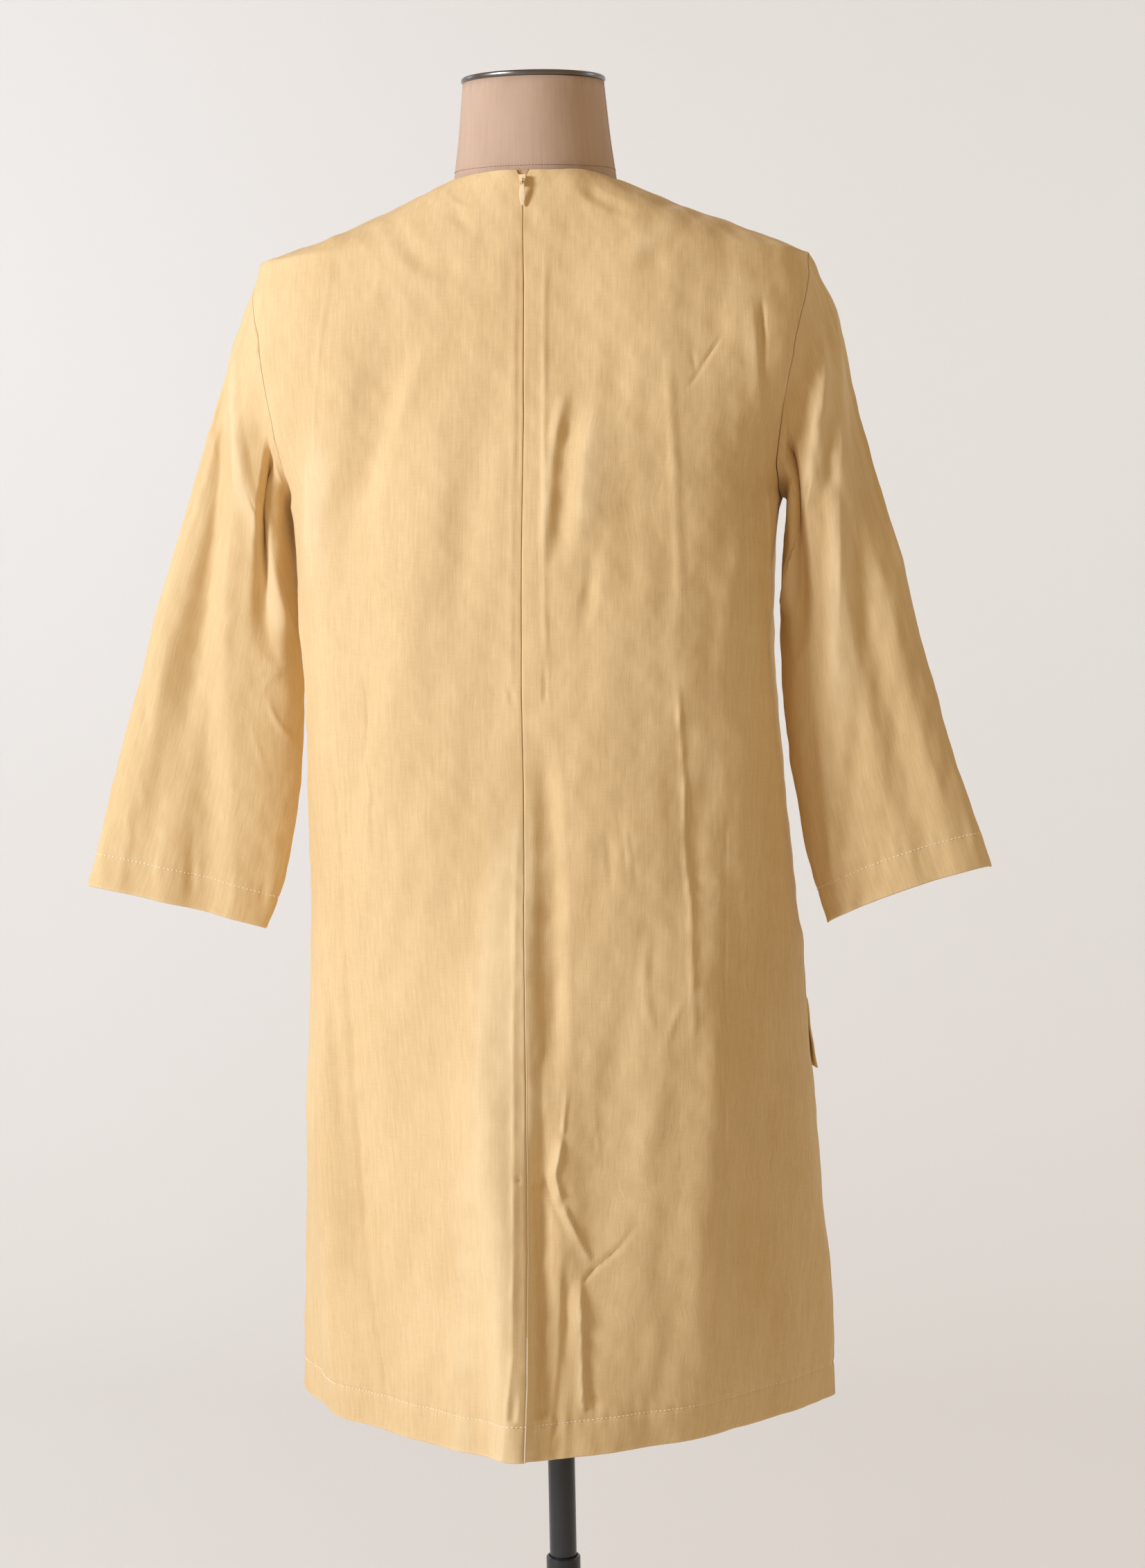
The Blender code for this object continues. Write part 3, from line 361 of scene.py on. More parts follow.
def sleeve_grid(side):
    """Outer points and outward normals of a sleeve, rows from the armhole to the cuff."""
    cut = SLEEVES[side]
    ring, ring_normals = armhole_ring(backs[side], fronts[side])
    count = len(ring)
    order = np.arange(count)
    share = (np.minimum(order, count - order) / (count // 2))[:, None]
    lean = math.radians(cut.lean)
    outward = np.array([side * math.cos(lean), 0, math.sin(lean)])
    down = np.array([side * math.sin(lean), 0, -math.cos(lean)])

    along = unit(np.roll(ring, -1, axis=0) - np.roll(ring, 1, axis=0))
    edge = unit(np.cross(ring_normals, along))              # runs on from the panel at the seam
    inside = ring.mean(axis=0)
    edge *= np.sign(np.sum(edge * (inside - ring), axis=1))[:, None]
    off_tip = ease(share / TIP_SPREAD)                      # the cloth rounds the shoulder tip
    edge = unit(edge[0] * (1 - off_tip) + edge * off_tip)
    ring_normals = unit(ring_normals[0] * (1 - off_tip) + ring_normals * off_tip)
    bend = np.radians(seam_bend(share))
    leave = np.cos(bend) * edge + np.sin(bend) * ring_normals
    first_normals = np.cos(bend) * ring_normals - np.sin(bend) * edge
    start = ring + edge * (SEAM_GAP + CLOTH * np.maximum(-np.sin(bend), 0))

    angle = math.pi * share
    behind = (order <= count // 2)[:, None]
    reach = np.sign(np.cos(angle)) * np.abs(np.cos(angle)) ** (2 / CUFF_ROUNDNESS)
    depth = np.abs(np.sin(angle)) ** (2 / CUFF_ROUNDNESS)
    cuff = np.array([side * cut.cuff_x, cut.cuff_y, cut.cuff_z]) + outward * cut.half_width * reach
    cuff[:, 1:2] += np.where(behind, cut.back, -cut.front) * depth
    cuff -= np.where(behind, cut.rise, 0.0) * depth * down

    length = np.linalg.norm(cuff - start, axis=1, keepdims=True)
    rolled = start + leave * SLEEVE_ROLL
    fallen = rolled + down * SLEEVE_FALL * length
    fallen[:, :1] -= side * cut.pull * share**3
    arriving = cuff - down * SLEEVE_REACH * length
    arriving[:, :1] -= side * cut.sag * share**3
    path = np.stack([start, rolled, fallen, arriving, cuff])
    t = (np.arange(SLEEVE_ROWS + 1) / SLEEVE_ROWS) ** 1.25
    weights = np.stack([math.comb(4, k) * t**k * (1 - t) ** (4 - k) for k in range(5)], axis=1)
    grid = np.einsum("rk,kcx->rcx", weights, path)

    wrapped = np.concatenate([grid[:, -1:], grid, grid[:, :1]], axis=1)
    normals = grid_normals(wrapped)[:, 1:-1] * -side
    normals[0] = first_normals
    turn = (360 * order / count)[None, :]
    hollow = np.zeros((len(t), count))
    for fold in SLEEVE_FOLDS:
        away = (turn - fold.angle + 180) % 360 - 180
        stretch = np.clip((t - fold.start) / (fold.end - fold.start), 0, 1)[:, None]
        hollow += fold.depth * bump(away, fold.half_angle) * np.sin(math.pi * stretch)
    return grid - normals * hollow[:, :, None], normals


# %% [markdown]
# ## Creases
# Cotton keeps the lines of its folding and packing, and falls into soft troughs between them.
# They are drawn as a tailor would chalk them: a line on the cloth, how high it stands
# (a valley is negative), and how wide it is on each side.  Sharp ones have a pressed edge.

# %% Tables of creases
# Each row: name; rise, left, right, fade_in and fade_out in millimetres; sharp; then the points.
# A fade of 0 runs on to the edge.
Crease = namedtuple("Crease", "panel name rise left right fade_in fade_out sharp points")

# Sides that the photo shows.  The points are its pixels.
PHOTO_CREASES = {
    "back_left": [
        ("pressed edge of the zip tape", 0.5, 4, 3, 40, 20, 0, (744, 330), (744, 450), (743, 600),
         (741, 750), (739, 900), (739, 1000)),
        ("inner line of the tape", -0.35, 1.5, 1.5, 60, 10, 0, (750, 420), (750, 600), (748, 800),
         (747, 985)),
        ("tape pocket, left", -1.3, 3, 2.5, 14, 8, 1, (735, 985), (738, 1002), (743, 1026)),
        ("slanting valley, left", -2.4, 30, 16, 90, 70, 0, (640, 400), (600, 455), (575, 530),
         (552, 610), (537, 680), (533, 740), (539, 800), (552, 860)),
        ("broad ridge left of it", 3, 22, 30, 80, 120, 0, (470, 560), (462, 650), (458, 740),
         (462, 840), (470, 930)),
        ("second hollow, left", -1, 14, 12, 40, 60, 0, (548, 840), (556, 890), (566, 950),
         (560, 1010)),
        ("pressed line, upper left", 0.55, 2.5, 2.5, 20, 50, 1, (486, 374), (470, 432),
         (461, 530), (459, 623), (465, 719)),
        ("slanting crease, left", 0.6, 1.8, 2.2, 15, 20, 1, (529, 814), (545, 838), (564, 859),
         (590, 890)),
        ("curved crease, upper", -1.1, 2.2, 3.2, 14, 14, 1, (523, 962), (529, 1000), (531, 1040),
         (526, 1080), (518, 1110)),
        ("curved crease, lower", -0.9, 2.5, 2.5, 14, 24, 1, (531, 1090), (538, 1150), (536, 1190),
         (545, 1262)),
        ("long pressed line, left", -1.3, 8, 2.2, 60, 0, 1, (479, 1040), (484, 1130), (490, 1230),
         (500, 1377), (507, 1503), (519, 1680), (533, 1827), (557, 1987), (564, 2052)),
        ("shadow beside it", -1.4, 9, 9, 60, 60, 0, (462, 1330), (476, 1450), (488, 1580),
         (500, 1700)),
        ("low pressed line", -0.5, 2, 2, 25, 10, 1, (483, 1835), (483, 1910), (484, 1985)),
        ("soft hollow under the shoulder", -1.6, 12, 14, 40, 30, 0, (560, 300), (590, 360),
         (640, 388), (690, 398)),
        ("small hollow at the nape", -0.9, 7, 7, 15, 15, 0, (640, 300), (668, 322), (676, 350)),
        ("nape crease, left", 0.5, 4, 4, 10, 15, 0, (640, 270), (655, 290), (690, 305)),
        ("soft valley, middle left", -1.2, 22, 22, 80, 80, 0, (690, 560), (680, 700), (672, 830),
         (664, 950)),
        ("soft slant, low left", -1.2, 14, 16, 50, 60, 0, (640, 1180), (600, 1270), (585, 1360),
         (600, 1450)),
        ("bright rib left of the seam", 1.6, 26, 30, 120, 0, 0, (747, 1100), (736, 1200),
         (727, 1300), (716, 1400), (704, 1500), (692, 1620), (682, 1750), (677, 1880),
         (672, 1990), (668, 2090)),
        ("pressed edge of the seam, left", 0.8, 5, 6, 90, 0, 1, (748, 1130), (745, 1300),
         (744, 1500), (744, 1700), (744, 1860), (743, 1960), (735, 2035), (728, 2108)),
        ("hem hollow left of the seam", -1.6, 4, 5, 30, 4, 0, (747, 1985), (744, 2030),
         (741, 2056)),
        ("notch at the seam, left", -1, 2.5, 2.5, 4, 2, 1, (742, 1709), (750, 1704), (757, 1699)),
        ("pressed line across, left", -0.3, 1.5, 1.5, 30, 6, 1, (525, 957), (600, 958),
         (680, 957), (742, 957)),
    ],
    "back_right": [
        ("tape edge, right", 0.75, 3, 3.5, 50, 12, 0, (788, 330), (786, 450), (786, 600),
         (786, 750), (786, 900), (787, 1008)),
        ("deep line by the tape", -1, 2.5, 2, 30, 6, 1, (784, 880), (785, 940), (787, 1018)),
        ("tape pocket, right", -1, 1.5, 1.5, 10, 6, 1, (760, 984), (763, 1000), (761, 1017)),
        ("seam shoulder, right", 0.6, 6, 7, 60, 40, 0, (768, 1060), (771, 1200), (773, 1400),
         (774, 1560)),
        ("long valley", -3.4, 15, 12, 45, 60, 0, (782, 1040), (787, 1120), (794, 1220),
         (799, 1340), (801, 1450), (799, 1540), (795, 1600)),
        ("bump in the valley", 0.9, 4, 4, 18, 18, 0, (776, 1450), (778, 1500), (775, 1545)),
        ("low valley", -3.4, 11, 16, 60, 10, 0, (783, 1600), (779, 1700), (779, 1800),
         (782, 1900), (783, 1980), (779, 2056)),
        ("thin line in the low valley", -1, 3, 4, 30, 20, 1, (777, 1740), (775, 1800),
         (779, 1860), (782, 1940), (778, 2030)),
        ("stem of the Y, thin", 0.9, 3, 2.5, 22, 4, 1, (818, 1555), (815, 1600), (811, 1640)),
        ("stem of the Y, wide", 2.3, 7, 4.5, 12, 12, 1, (812, 1635), (806, 1672), (801, 1698),
         (809, 1728), (814, 1742)),
        ("foot of the stem", -1.2, 6, 3, 10, 20, 1, (786, 1690), (786, 1704), (798, 1734),
         (822, 1784)),
        ("arm of the Y, bright", 1.6, 7.5, 3, 8, 8, 1, (811, 1736), (826, 1768), (843, 1800),
         (856, 1824)),
        ("upright of the Y", 2.2, 11, 3, 22, 20, 1, (838, 1838), (838, 1880), (839, 1940),
         (841, 2010), (845, 2056)),
        ("valley left of the upright", -1.6, 5, 8, 30, 0, 0, (818, 1800), (817, 1860),
         (815, 1930), (808, 2010), (800, 2100)),
        ("slanting arm of the Y", -1.5, 2.6, 2.2, 40, 4, 1, (931, 1752), (895, 1796), (857, 1832),
         (840, 1852)),
        ("wedge at the upright's foot", -1.3, 3, 7, 16, 10, 1, (846, 1975), (852, 2010),
         (862, 2045)),
        ("hem rib, right", 0.8, 4, 4, 8, 0, 0, (806, 2060), (802, 2085), (799, 2104)),
        ("pressed line 1", -0.35, 1.6, 1.6, 8, 14, 1, (812, 1694), (850, 1690), (882, 1680),
         (905, 1675)),
        ("pressed line 2", -0.3, 1.6, 1.6, 10, 30, 1, (818, 1704), (880, 1705), (940, 1703),
         (1010, 1701)),
        ("pressed line 3", -0.4, 1.6, 1.6, 10, 30, 1, (830, 1716), (900, 1716), (950, 1714),
         (1040, 1711)),
        ("notch at the seam, right", -1.2, 4, 4, 4, 4, 0, (763, 1708), (774, 1710), (786, 1708)),
        ("pressed line across, right", -0.22, 1.5, 1.5, 6, 30, 1, (768, 957), (830, 958),
         (890, 959)),
        ("soft valley, upper right", -3, 9, 14, 40, 30, 0, (842, 555), (828, 600), (816, 660),
         (812, 720), (808, 780), (798, 826)),
        ("ridge right of it", 2.2, 12, 22, 50, 40, 0, (880, 560), (862, 610), (850, 650),
         (843, 700), (838, 760), (826, 800)),
        ("second patch, right", -1.8, 7, 9, 26, 40, 0, (850, 790), (852, 830), (846, 880),
         (838, 930)),
        ("crossed crease 1", -0.9, 2.5, 2.5, 10, 8, 1, (996, 500), (1000, 524), (1003, 543)),
        ("crossed crease 2", -0.9, 2.2, 3, 14, 14, 1, (1045, 478), (1024, 510), (1003, 543),
         (985, 566)),
        ("faint ridge, upper right", 0.9, 5, 7, 60, 30, 0, (960, 480), (966, 600), (971, 693),
         (976, 800), (978, 893)),
        ("pressed ridge, middle right", 1, 4, 3.5, 40, 50, 1, (977, 960), (980, 1030),
         (983, 1083), (988, 1150), (990, 1230), (996, 1310), (997, 1377), (1001, 1460),
         (1003, 1540)),
        ("hollow right of it", -1.2, 8, 14, 50, 60, 0, (1000, 1150), (1008, 1250), (1012, 1350),
         (1016, 1450)),
        ("short crease by the armhole", -1.3, 4, 3, 22, 30, 1, (1098, 420), (1101, 480),
         (1101, 556)),
        ("ridge by the armhole", 1.2, 9, 5, 40, 40, 0, (1080, 410), (1086, 470), (1090, 540),
         (1096, 620)),
        ("ridge at the right side", 1.4, 7, 5, 60, 60, 0, (1103, 600), (1104, 750), (1105, 900),
         (1106, 1050), (1111, 1170)),
        ("fold at the nape, right", -1.6, 8, 8, 14, 26, 0, (838, 262), (856, 280), (884, 296),
         (930, 312)),
        ("shoulder blade, right", 1.4, 16, 14, 30, 50, 0, (1000, 300), (960, 332), (925, 360),
         (893, 386), (860, 400)),
        ("long pressed line, right", -0.7, 2.5, 2.2, 60, 30, 1, (1048, 1150), (1046, 1350),
         (1045, 1523), (1042, 1700), (1041, 1893), (1040, 2000)),
        ("wrinkle 1, right", -0.7, 3, 3, 18, 18, 0, (893, 1165), (900, 1220), (906, 1272)),
        ("wrinkle 2, right", -0.6, 3, 3, 18, 18, 0, (905, 1180), (912, 1230), (920, 1290)),
        ("wrinkle 3, right", -0.6, 4, 4, 18, 18, 0, (873, 1190), (880, 1240), (882, 1300)),
        ("wrinkle 4, right", 0.9, 6, 6, 26, 26, 0, (940, 1330), (930, 1390), (932, 1450),
         (950, 1510)),
        ("wrinkle 5, right", 0.45, 2, 2, 12, 12, 1, (857, 1590), (862, 1630), (866, 1672)),
        ("wrinkle 6, right", 0.45, 2, 2, 10, 10, 1, (925, 1635), (934, 1665), (944, 1690)),
        ("wrinkle 7, right", 0.7, 4, 4, 14, 20, 0, (985, 1440), (970, 1480), (960, 1520)),
        ("soft slant, right", -1, 14, 14, 50, 50, 0, (930, 640), (910, 720), (900, 800),
         (905, 880)),
        ("soft slant 2, right", -0.9, 14, 14, 60, 60, 0, (1030, 640), (1040, 760), (1030, 880),
         (1020, 980)),
        ("ridge left of it", 1.5, 7, 7, 40, 40, 0, (826, 540), (808, 600), (795, 680), (790, 760),
         (784, 820)),
        ("ridge on the seam", 5, 40, 11, 160, 0, 0, (758, 1120), (757, 1250), (756, 1400),
         (755, 1600), (754, 1800), (753, 1980), (752, 2090)),
    ],
    "sleeve_left": [
        ("back fold of the left sleeve", 3.6, 16, 9, 40, 30, 0, (343, 490), (340, 568),
         (343, 630), (350, 690), (373, 747), (386, 795), (397, 857), (415, 905), (432, 932)),
        ("long valley, left sleeve", -5, 34, 20, 90, 0, 0, (332, 560), (318, 640), (306, 740),
         (299, 850), (295, 960), (296, 1080), (300, 1180), (303, 1300)),
        ("warm line at the cuff", -1, 8, 6, 40, 0, 0, (274, 1150), (276, 1210), (276, 1290)),
        ("wrinkle 1, left sleeve", 0.6, 3, 3, 14, 10, 1, (355, 978), (380, 972), (403, 964),
         (430, 957)),
        ("wrinkle 2, left sleeve", 0.6, 3, 3, 10, 14, 1, (424, 951), (400, 972), (386, 985),
         (374, 1010)),
        ("wrinkle 3, left sleeve", 0.8, 3.5, 3.5, 14, 8, 1, (385, 1002), (392, 1030), (407, 1052),
         (426, 1071)),
        ("wrinkle 4, left sleeve", 0.6, 3, 3, 14, 14, 1, (362, 1040), (370, 1075), (384, 1110)),
        ("wrinkle 5, left sleeve", 0.7, 5, 5, 18, 18, 0, (205, 1110), (212, 1150), (208, 1190)),
        ("wrinkle 6, left sleeve", -0.7, 6, 6, 24, 24, 0, (222, 960), (214, 1010), (218, 1070)),
        ("wrinkle 7, left sleeve", 0.6, 5, 5, 20, 20, 0, (240, 860), (232, 900), (228, 950)),
        ("wrinkle 8, left sleeve", 0.6, 4, 4, 15, 10, 0, (186, 1160), (192, 1200), (190, 1235)),
        ("pull at the left armhole 1", 0.7, 4, 4, 14, 8, 0, (352, 480), (372, 505), (388, 520)),
        ("pull at the left armhole 2", -0.8, 5, 5, 18, 8, 0, (345, 530), (368, 560), (392, 590)),
    ],
    "sleeve_right": [
        ("back fold of the right sleeve", 3.6, 8, 14, 40, 10, 0, (1186, 470), (1180, 591),
         (1171, 673), (1157, 752), (1135, 842), (1118, 881)),
        ("long ridge, right sleeve", 3.2, 13, 20, 30, 110, 0, (1183, 392), (1197, 437),
         (1206, 490), (1209, 596), (1211, 734), (1211, 872), (1211, 982), (1214, 1113)),
        ("pressed line on it", 0.5, 2.5, 3, 20, 60, 1, (1199, 450), (1206, 500), (1209, 640),
         (1211, 800), (1210, 940)),
        ("short crease by it", -0.8, 2.5, 2.5, 10, 12, 1, (1190, 425), (1197, 447), (1200, 470)),
        ("slanting wrinkle 1, right sleeve", -0.9, 8, 8, 40, 50, 0, (1222, 545), (1240, 610),
         (1258, 690), (1272, 760)),
        ("slanting wrinkle 2, right sleeve", -1, 9, 9, 50, 50, 0, (1256, 800), (1275, 880),
         (1292, 960)),
        ("slanting wrinkle 3, right sleeve", 0.8, 8, 8, 50, 50, 0, (1290, 700), (1306, 790),
         (1330, 900)),
        ("soft hollow, right sleeve", -1.4, 12, 14, 60, 10, 0, (1240, 960), (1236, 1060),
         (1230, 1160), (1222, 1240)),
        ("low ridge, right sleeve", 1.2, 10, 10, 60, 0, 0, (1180, 1000), (1190, 1100),
         (1200, 1200), (1208, 1290)),
        ("wave at the right cuff", 1.6, 7, 7, 20, 0, 0, (1222, 1268), (1225, 1295), (1226, 1318)),
        ("dent beside the wave", -1.3, 7, 7, 20, 0, 0, (1245, 1262), (1246, 1290), (1244, 1312)),
        ("hollow of the right sleeve", -3.5, 16, 11, 50, 40, 0, (1168, 470), (1158, 560),
         (1146, 650), (1134, 730)),
    ],
}

# Sides that the photo hides.  The points are (x, height) in millimetres.
HIDDEN_CREASES = {
    "front_left": [
        ("drag line from the bust", 2.2, 16, 12, 60, 90, 0, (70, 1215), (80, 1150), (92, 1080),
         (98, 1000)),
        ("hollow beside it", -2, 16, 12, 60, 90, 0, (30, 1190), (36, 1100), (48, 1010), (52, 930)),
        ("long pressed line", -1.2, 3, 6, 60, 0, 1, (132, 1000), (128, 880), (124, 760),
         (118, 640), (110, 505)),
        ("pressed line across", -0.3, 2, 2, 30, 30, 1, (130, 1040), (70, 1041), (4, 1040)),
        ("low crease", 1.1, 5, 4, 30, 40, 1, (46, 700), (41, 655), (50, 600), (47, 560)),
        ("short slanting crease", 0.8, 3, 3, 12, 12, 1, (104, 930), (92, 915), (78, 908)),
        ("fold below the armhole", 1, 14, 14, 30, 40, 0, (152, 1260), (122, 1236), (94, 1205)),
    ],
    "front_right": [
        ("drag line from the bust", 2.4, 12, 17, 60, 90, 0, (-66, 1220), (-78, 1150), (-88, 1075),
         (-90, 990)),
        ("hollow beside it", -1.6, 12, 16, 50, 90, 0, (-22, 1200), (-30, 1120), (-44, 1040)),
        ("long pressed line", -1, 5, 3, 60, 0, 1, (-128, 980), (-124, 860), (-121, 740),
         (-116, 620), (-108, 505)),
        ("pressed line across", -0.3, 2, 2, 30, 30, 1, (-4, 1040), (-70, 1039), (-128, 1041)),
        ("low crease", 1.3, 4, 5, 30, 40, 1, (-52, 720), (-47, 680), (-58, 640), (-60, 590)),
        ("short slanting crease", -1.1, 3, 3, 16, 16, 1, (-98, 690), (-80, 668), (-60, 648)),
        ("fold below the armhole", 1, 14, 14, 30, 40, 0, (-150, 1262), (-120, 1240), (-92, 1210)),
        ("hollow below the armhole", -1.5, 12, 10, 40, 90, 0, (-160, 1110), (-158, 1030),
         (-162, 940)),
    ],
    "back_left": [
        ("ridge below the armhole", 1.6, 10, 12, 40, 90, 0, (172, 1120), (171, 1040), (172, 960)),
    ],
    "sleeve_left_front": [
        ("long hollow", -2.5, 14, 12, 60, 0, 0, (222, 1190), (236, 1090), (252, 980), (262, 868)),
        ("short crease", 0.8, 3, 3, 12, 12, 1, (226, 1040), (212, 1030), (200, 1026)),
        ("upper ridge", 0.9, 6, 6, 30, 40, 0, (214, 1240), (222, 1180), (226, 1120)),
    ],
    "sleeve_right_front": [
        ("long ridge", 2, 12, 14, 60, 60, 0, (-214, 1210), (-228, 1100), (-244, 990), (-252, 920)),
        ("short crease", -0.8, 3, 3, 12, 12, 1, (-236, 1050), (-222, 1036), (-208, 1030)),
    ],
}
SOFT_SHARE, SHARP_SHARE = 1.15, 1.6     # the rises above looked too low in the first renders

hidden_creases = [Crease(panel, *row[:7], row[7:])
                  for panel, rows in HIDDEN_CREASES.items() for row in rows]
photo_creases = [Crease(panel, row[0], row[1] * (SHARP_SHARE if row[6] else SOFT_SHARE),
                        *row[2:7], row[7:])
                 for panel, rows in PHOTO_CREASES.items() for row in rows]

CREASE_STEPS = 12           # spans of a crease line between two chalk marks
CREASE_UNEVEN = 0.22        # how much a crease swells and fades along its way
WEAR_RISE, WEAR_EDGE = 0.0022, 0.0022    # m, a fold that high, and how far in an edge, is worn
EVEN_RISE = 1.6              # mm, creases higher than this are more even
FAR_PIXELS = 10000           # puts what faces away from the camera out of reach
WAVE_LONG, WAVE_SHORT = 0.061, 0.023


def panel_grid(panel):
    """The part of a grid on which a crease is looked up."""
    name, word, *rest = panel.split("_")
    side = LEFT if word == "left" else RIGHT
    if name == "sleeve":
        half = sleeves[side][0].shape[1] // 2
        return [part[:, half:] if rest else part[:, :half + 1] for part in sleeves[side]]
    return (backs if name == "back" else fronts)[side]


def photo_pixels(points):
    """Where points show in the photo, in its pixels."""
    across, height, depth = PHOTO_AXES @ (points - np.array(CAMERA_PLACE)).T
    scale = LENS / SENSOR * PHOTO_HEIGHT / depth
    return np.stack([PHOTO_WIDTH / 2 + across * scale, PHOTO_HEIGHT / 2 - height * scale], axis=-1)


def nearest(places, point, grid, least):
    """The place on a grid that lies nearest to a point, among the four closest of its points."""
    away = np.linalg.norm(places - point, axis=1)
    near = np.argsort(away)[:4]
    share = 1 / (away[near] + least)
    return (grid[near] * share[:, None]).sum(axis=0) / share.sum()


def placed(crease):
    """A crease of the photo with its points looked up on the cloth, as (x, height) in mm."""
    grid, normals = (part.reshape(-1, 3) for part in panel_grid(crease.panel))
    pixels = photo_pixels(grid)
    hidden = np.einsum("pi,pi->p", normals, np.array(CAMERA_PLACE) - grid) <= 0
    pixels[hidden] += FAR_PIXELS
    found = [nearest(pixels, point, grid, 0.05) * 1000 for point in crease.points]
    return crease._replace(points=[(round(x, 1), round(z)) for x, _, z in found])


def creases_on(sleeve):
    """All creases of the sleeves, or all of the body."""
    here = [c for c in photo_creases if c.panel.startswith("sleeve") == sleeve]
    return [placed(c) for c in here] + [
        c for c in hidden_creases if c.panel.startswith("sleeve") == sleeve]


def crease_line(crease):
    """The crease as a smooth line of points on the cloth."""
    grid = panel_grid(crease.panel)[0].reshape(-1, 3)
    found = [nearest(grid[:, [0, 2]], np.array(point) / 1000, grid, 1e-5)
             for point in crease.points]
    return spline(found, [CREASE_STEPS] * (len(found) - 1))


def crease_height(grid, crease, line):
    """How high one crease lifts each point of a grid."""
    left, right, fade_in, fade_out = (v / 1000 for v in crease[3:7])
    reach = max(left, right)
    height = np.zeros(grid.shape[:2])
    close = np.all((grid > line.min(axis=0) - reach) & (grid < line.max(axis=0) + reach), axis=2)
    spans = np.diff(line, axis=0)
    lengths = np.linalg.norm(spans, axis=1)
    starts = np.concatenate([[0], np.cumsum(lengths)])
    found = []
    for points in np.array_split(grid[close], 12):
        offset = points[:, None] - line[None, :-1]
        t = np.clip(np.einsum("psk,sk->ps", offset, spans) / lengths**2, 0, 1)
        away = np.linalg.norm(offset - t[:, :, None] * spans, axis=2)
        best = np.argmin(away, axis=1)
        pick = np.arange(len(points)), best
        along = starts[best] + t[pick] * lengths[best]
        beside = points[:, 0] - (line[best, 0] + t[pick] * spans[best, 0])
        q = np.clip(1 - away[pick] / np.where(beside > 0, left, right), 0, 1)
        lift = q * q if crease.sharp else ease(q)
        if fade_in:
            lift *= ease(along / fade_in)
        if fade_out:
            lift *= ease((starts[-1] - along) / fade_out)
        phase = abs(crease.points[0][0])
        uneven = CREASE_UNEVEN * min(1, EVEN_RISE / abs(crease.rise))
        found.append(lift * (1 + uneven * np.sin(along / WAVE_LONG * 6.3 + phase)
                             + uneven / 2 * np.sin(along / WAVE_SHORT * 6.3 + 2 * phase)))
    height[close] = np.concatenate(found)
    return height * crease.rise / 1000


def ripple(points, seed, wavelength, height, waves=26, tall=3.0):
    """Gentle unevenness: many small waves with random directions, `tall` times longer upwards."""
    draw = np.random.default_rng(seed)
    total = np.zeros(points.shape[:-1])
    for _ in range(waves):
        way = draw.normal(size=3) * (1, 1, 1 / tall)
        way *= 2 * math.pi / wavelength / np.linalg.norm(way) * draw.uniform(0.5, 1.6)
        total += np.sin(points @ way + draw.uniform(0, 2 * math.pi))
    return height * total * math.sqrt(2 / waves)


# %% [markdown]
# ## Hem, seam line and room for the form
# The hem and cuffs are turned up by 25 mm and stitched.  The stitches draw the cloth in, with a
# small pucker between them.  The centre back seam isn't quite straight either.  Where a trough
# would reach the form, the cloth rests on it instead.

# %% Hem, seam and clearance
TURN_UP, TURN_UP_CLOTH = 0.025, 0.0005          # its height, and how much thicker it is
STITCH_DENT, PUCKER = 0.00050, 0.00042
PUCKER_LENGTHS = (0.0093, 0.0147, 0.0226)
ROOM = 0.0004                                   # kept between cloth and form
BACK_EASE, BACK_EASE_Z, BACK_EASE_REACH = 0.0046, 1.14, 0.21    # the back stands off a little
TAPE_ROOM, TAPE_HALF, TAPE_END = 0.0016, 0.0110, 0.990
SEAM_WANDER = [(0.50, -0.5), (0.55, -2.5), (0.64, -2.7), (0.74, -2.0), (0.83, -1.0), (0.93, -0.5),
               (1.02, 0.0), (1.11, -1.0), (1.21, -3.0), (1.30, -1.5), (1.36, 0.0)]  # m, and mm
Cloth = namedtuple("Cloth", "outer normals thick wear")


def lengths_along(grid, axis):
    steps = np.linalg.norm(np.diff(grid, axis=axis), axis=2)
    return np.cumsum(np.insert(steps, 0, 0, axis=axis), axis=axis)


def turn_up(grid, from_edge):
    """Lift of the cloth at a turned-up edge, and its greater thickness there."""
    around = lengths_along(grid, 1)
    seam = np.exp(-((from_edge - TURN_UP) / 0.0016) ** 2)
    near = np.exp(-np.abs(from_edge - TURN_UP) / 0.011)
    wave = sum(np.sin(2 * math.pi * around / length + 2 * k + from_edge * 60)
               for k, length in enumerate(PUCKER_LENGTHS)) / 2
    lift = PUCKER * near * wave - STITCH_DENT * seam
    return lift, CLOTH + TURN_UP_CLOTH * ease((TURN_UP + 0.002 - from_edge) / 0.002)


def surface(node):
    """A search tree over the surface of a CAD node."""
    mesh = nodes[node].data
    return BVHTree.FromPolygons([v.co.copy() for v in mesh.vertices],
                                [tuple(p.vertices) for p in mesh.polygons])


def keep_clear(grid, normals, tree):
    """Move points out along their normals until the cloth has room over the form."""
    moved = grid.copy()
    for r, c in zip(*np.nonzero(grid[:, :, 2] > 0.78)):
        point = Vector(grid[r, c])
        place, facing, _, away = tree.find_nearest(point, 0.02)
        if place is None:
            continue
        if (point - place).dot(facing) < 0:
            away = -away
        wanted = CLOTH + ROOM
        if grid[r, c, 1] > 0 and abs(grid[r, c, 0]) < TAPE_HALF and grid[r, c, 2] > TAPE_END:
            wanted += TAPE_ROOM
        if away < wanted:
            moved[r, c] += normals[r, c] * (wanted - away)
    return moved


# %% Creases, puckers and unevenness of the body
body_creases = creases_on(sleeve=False)

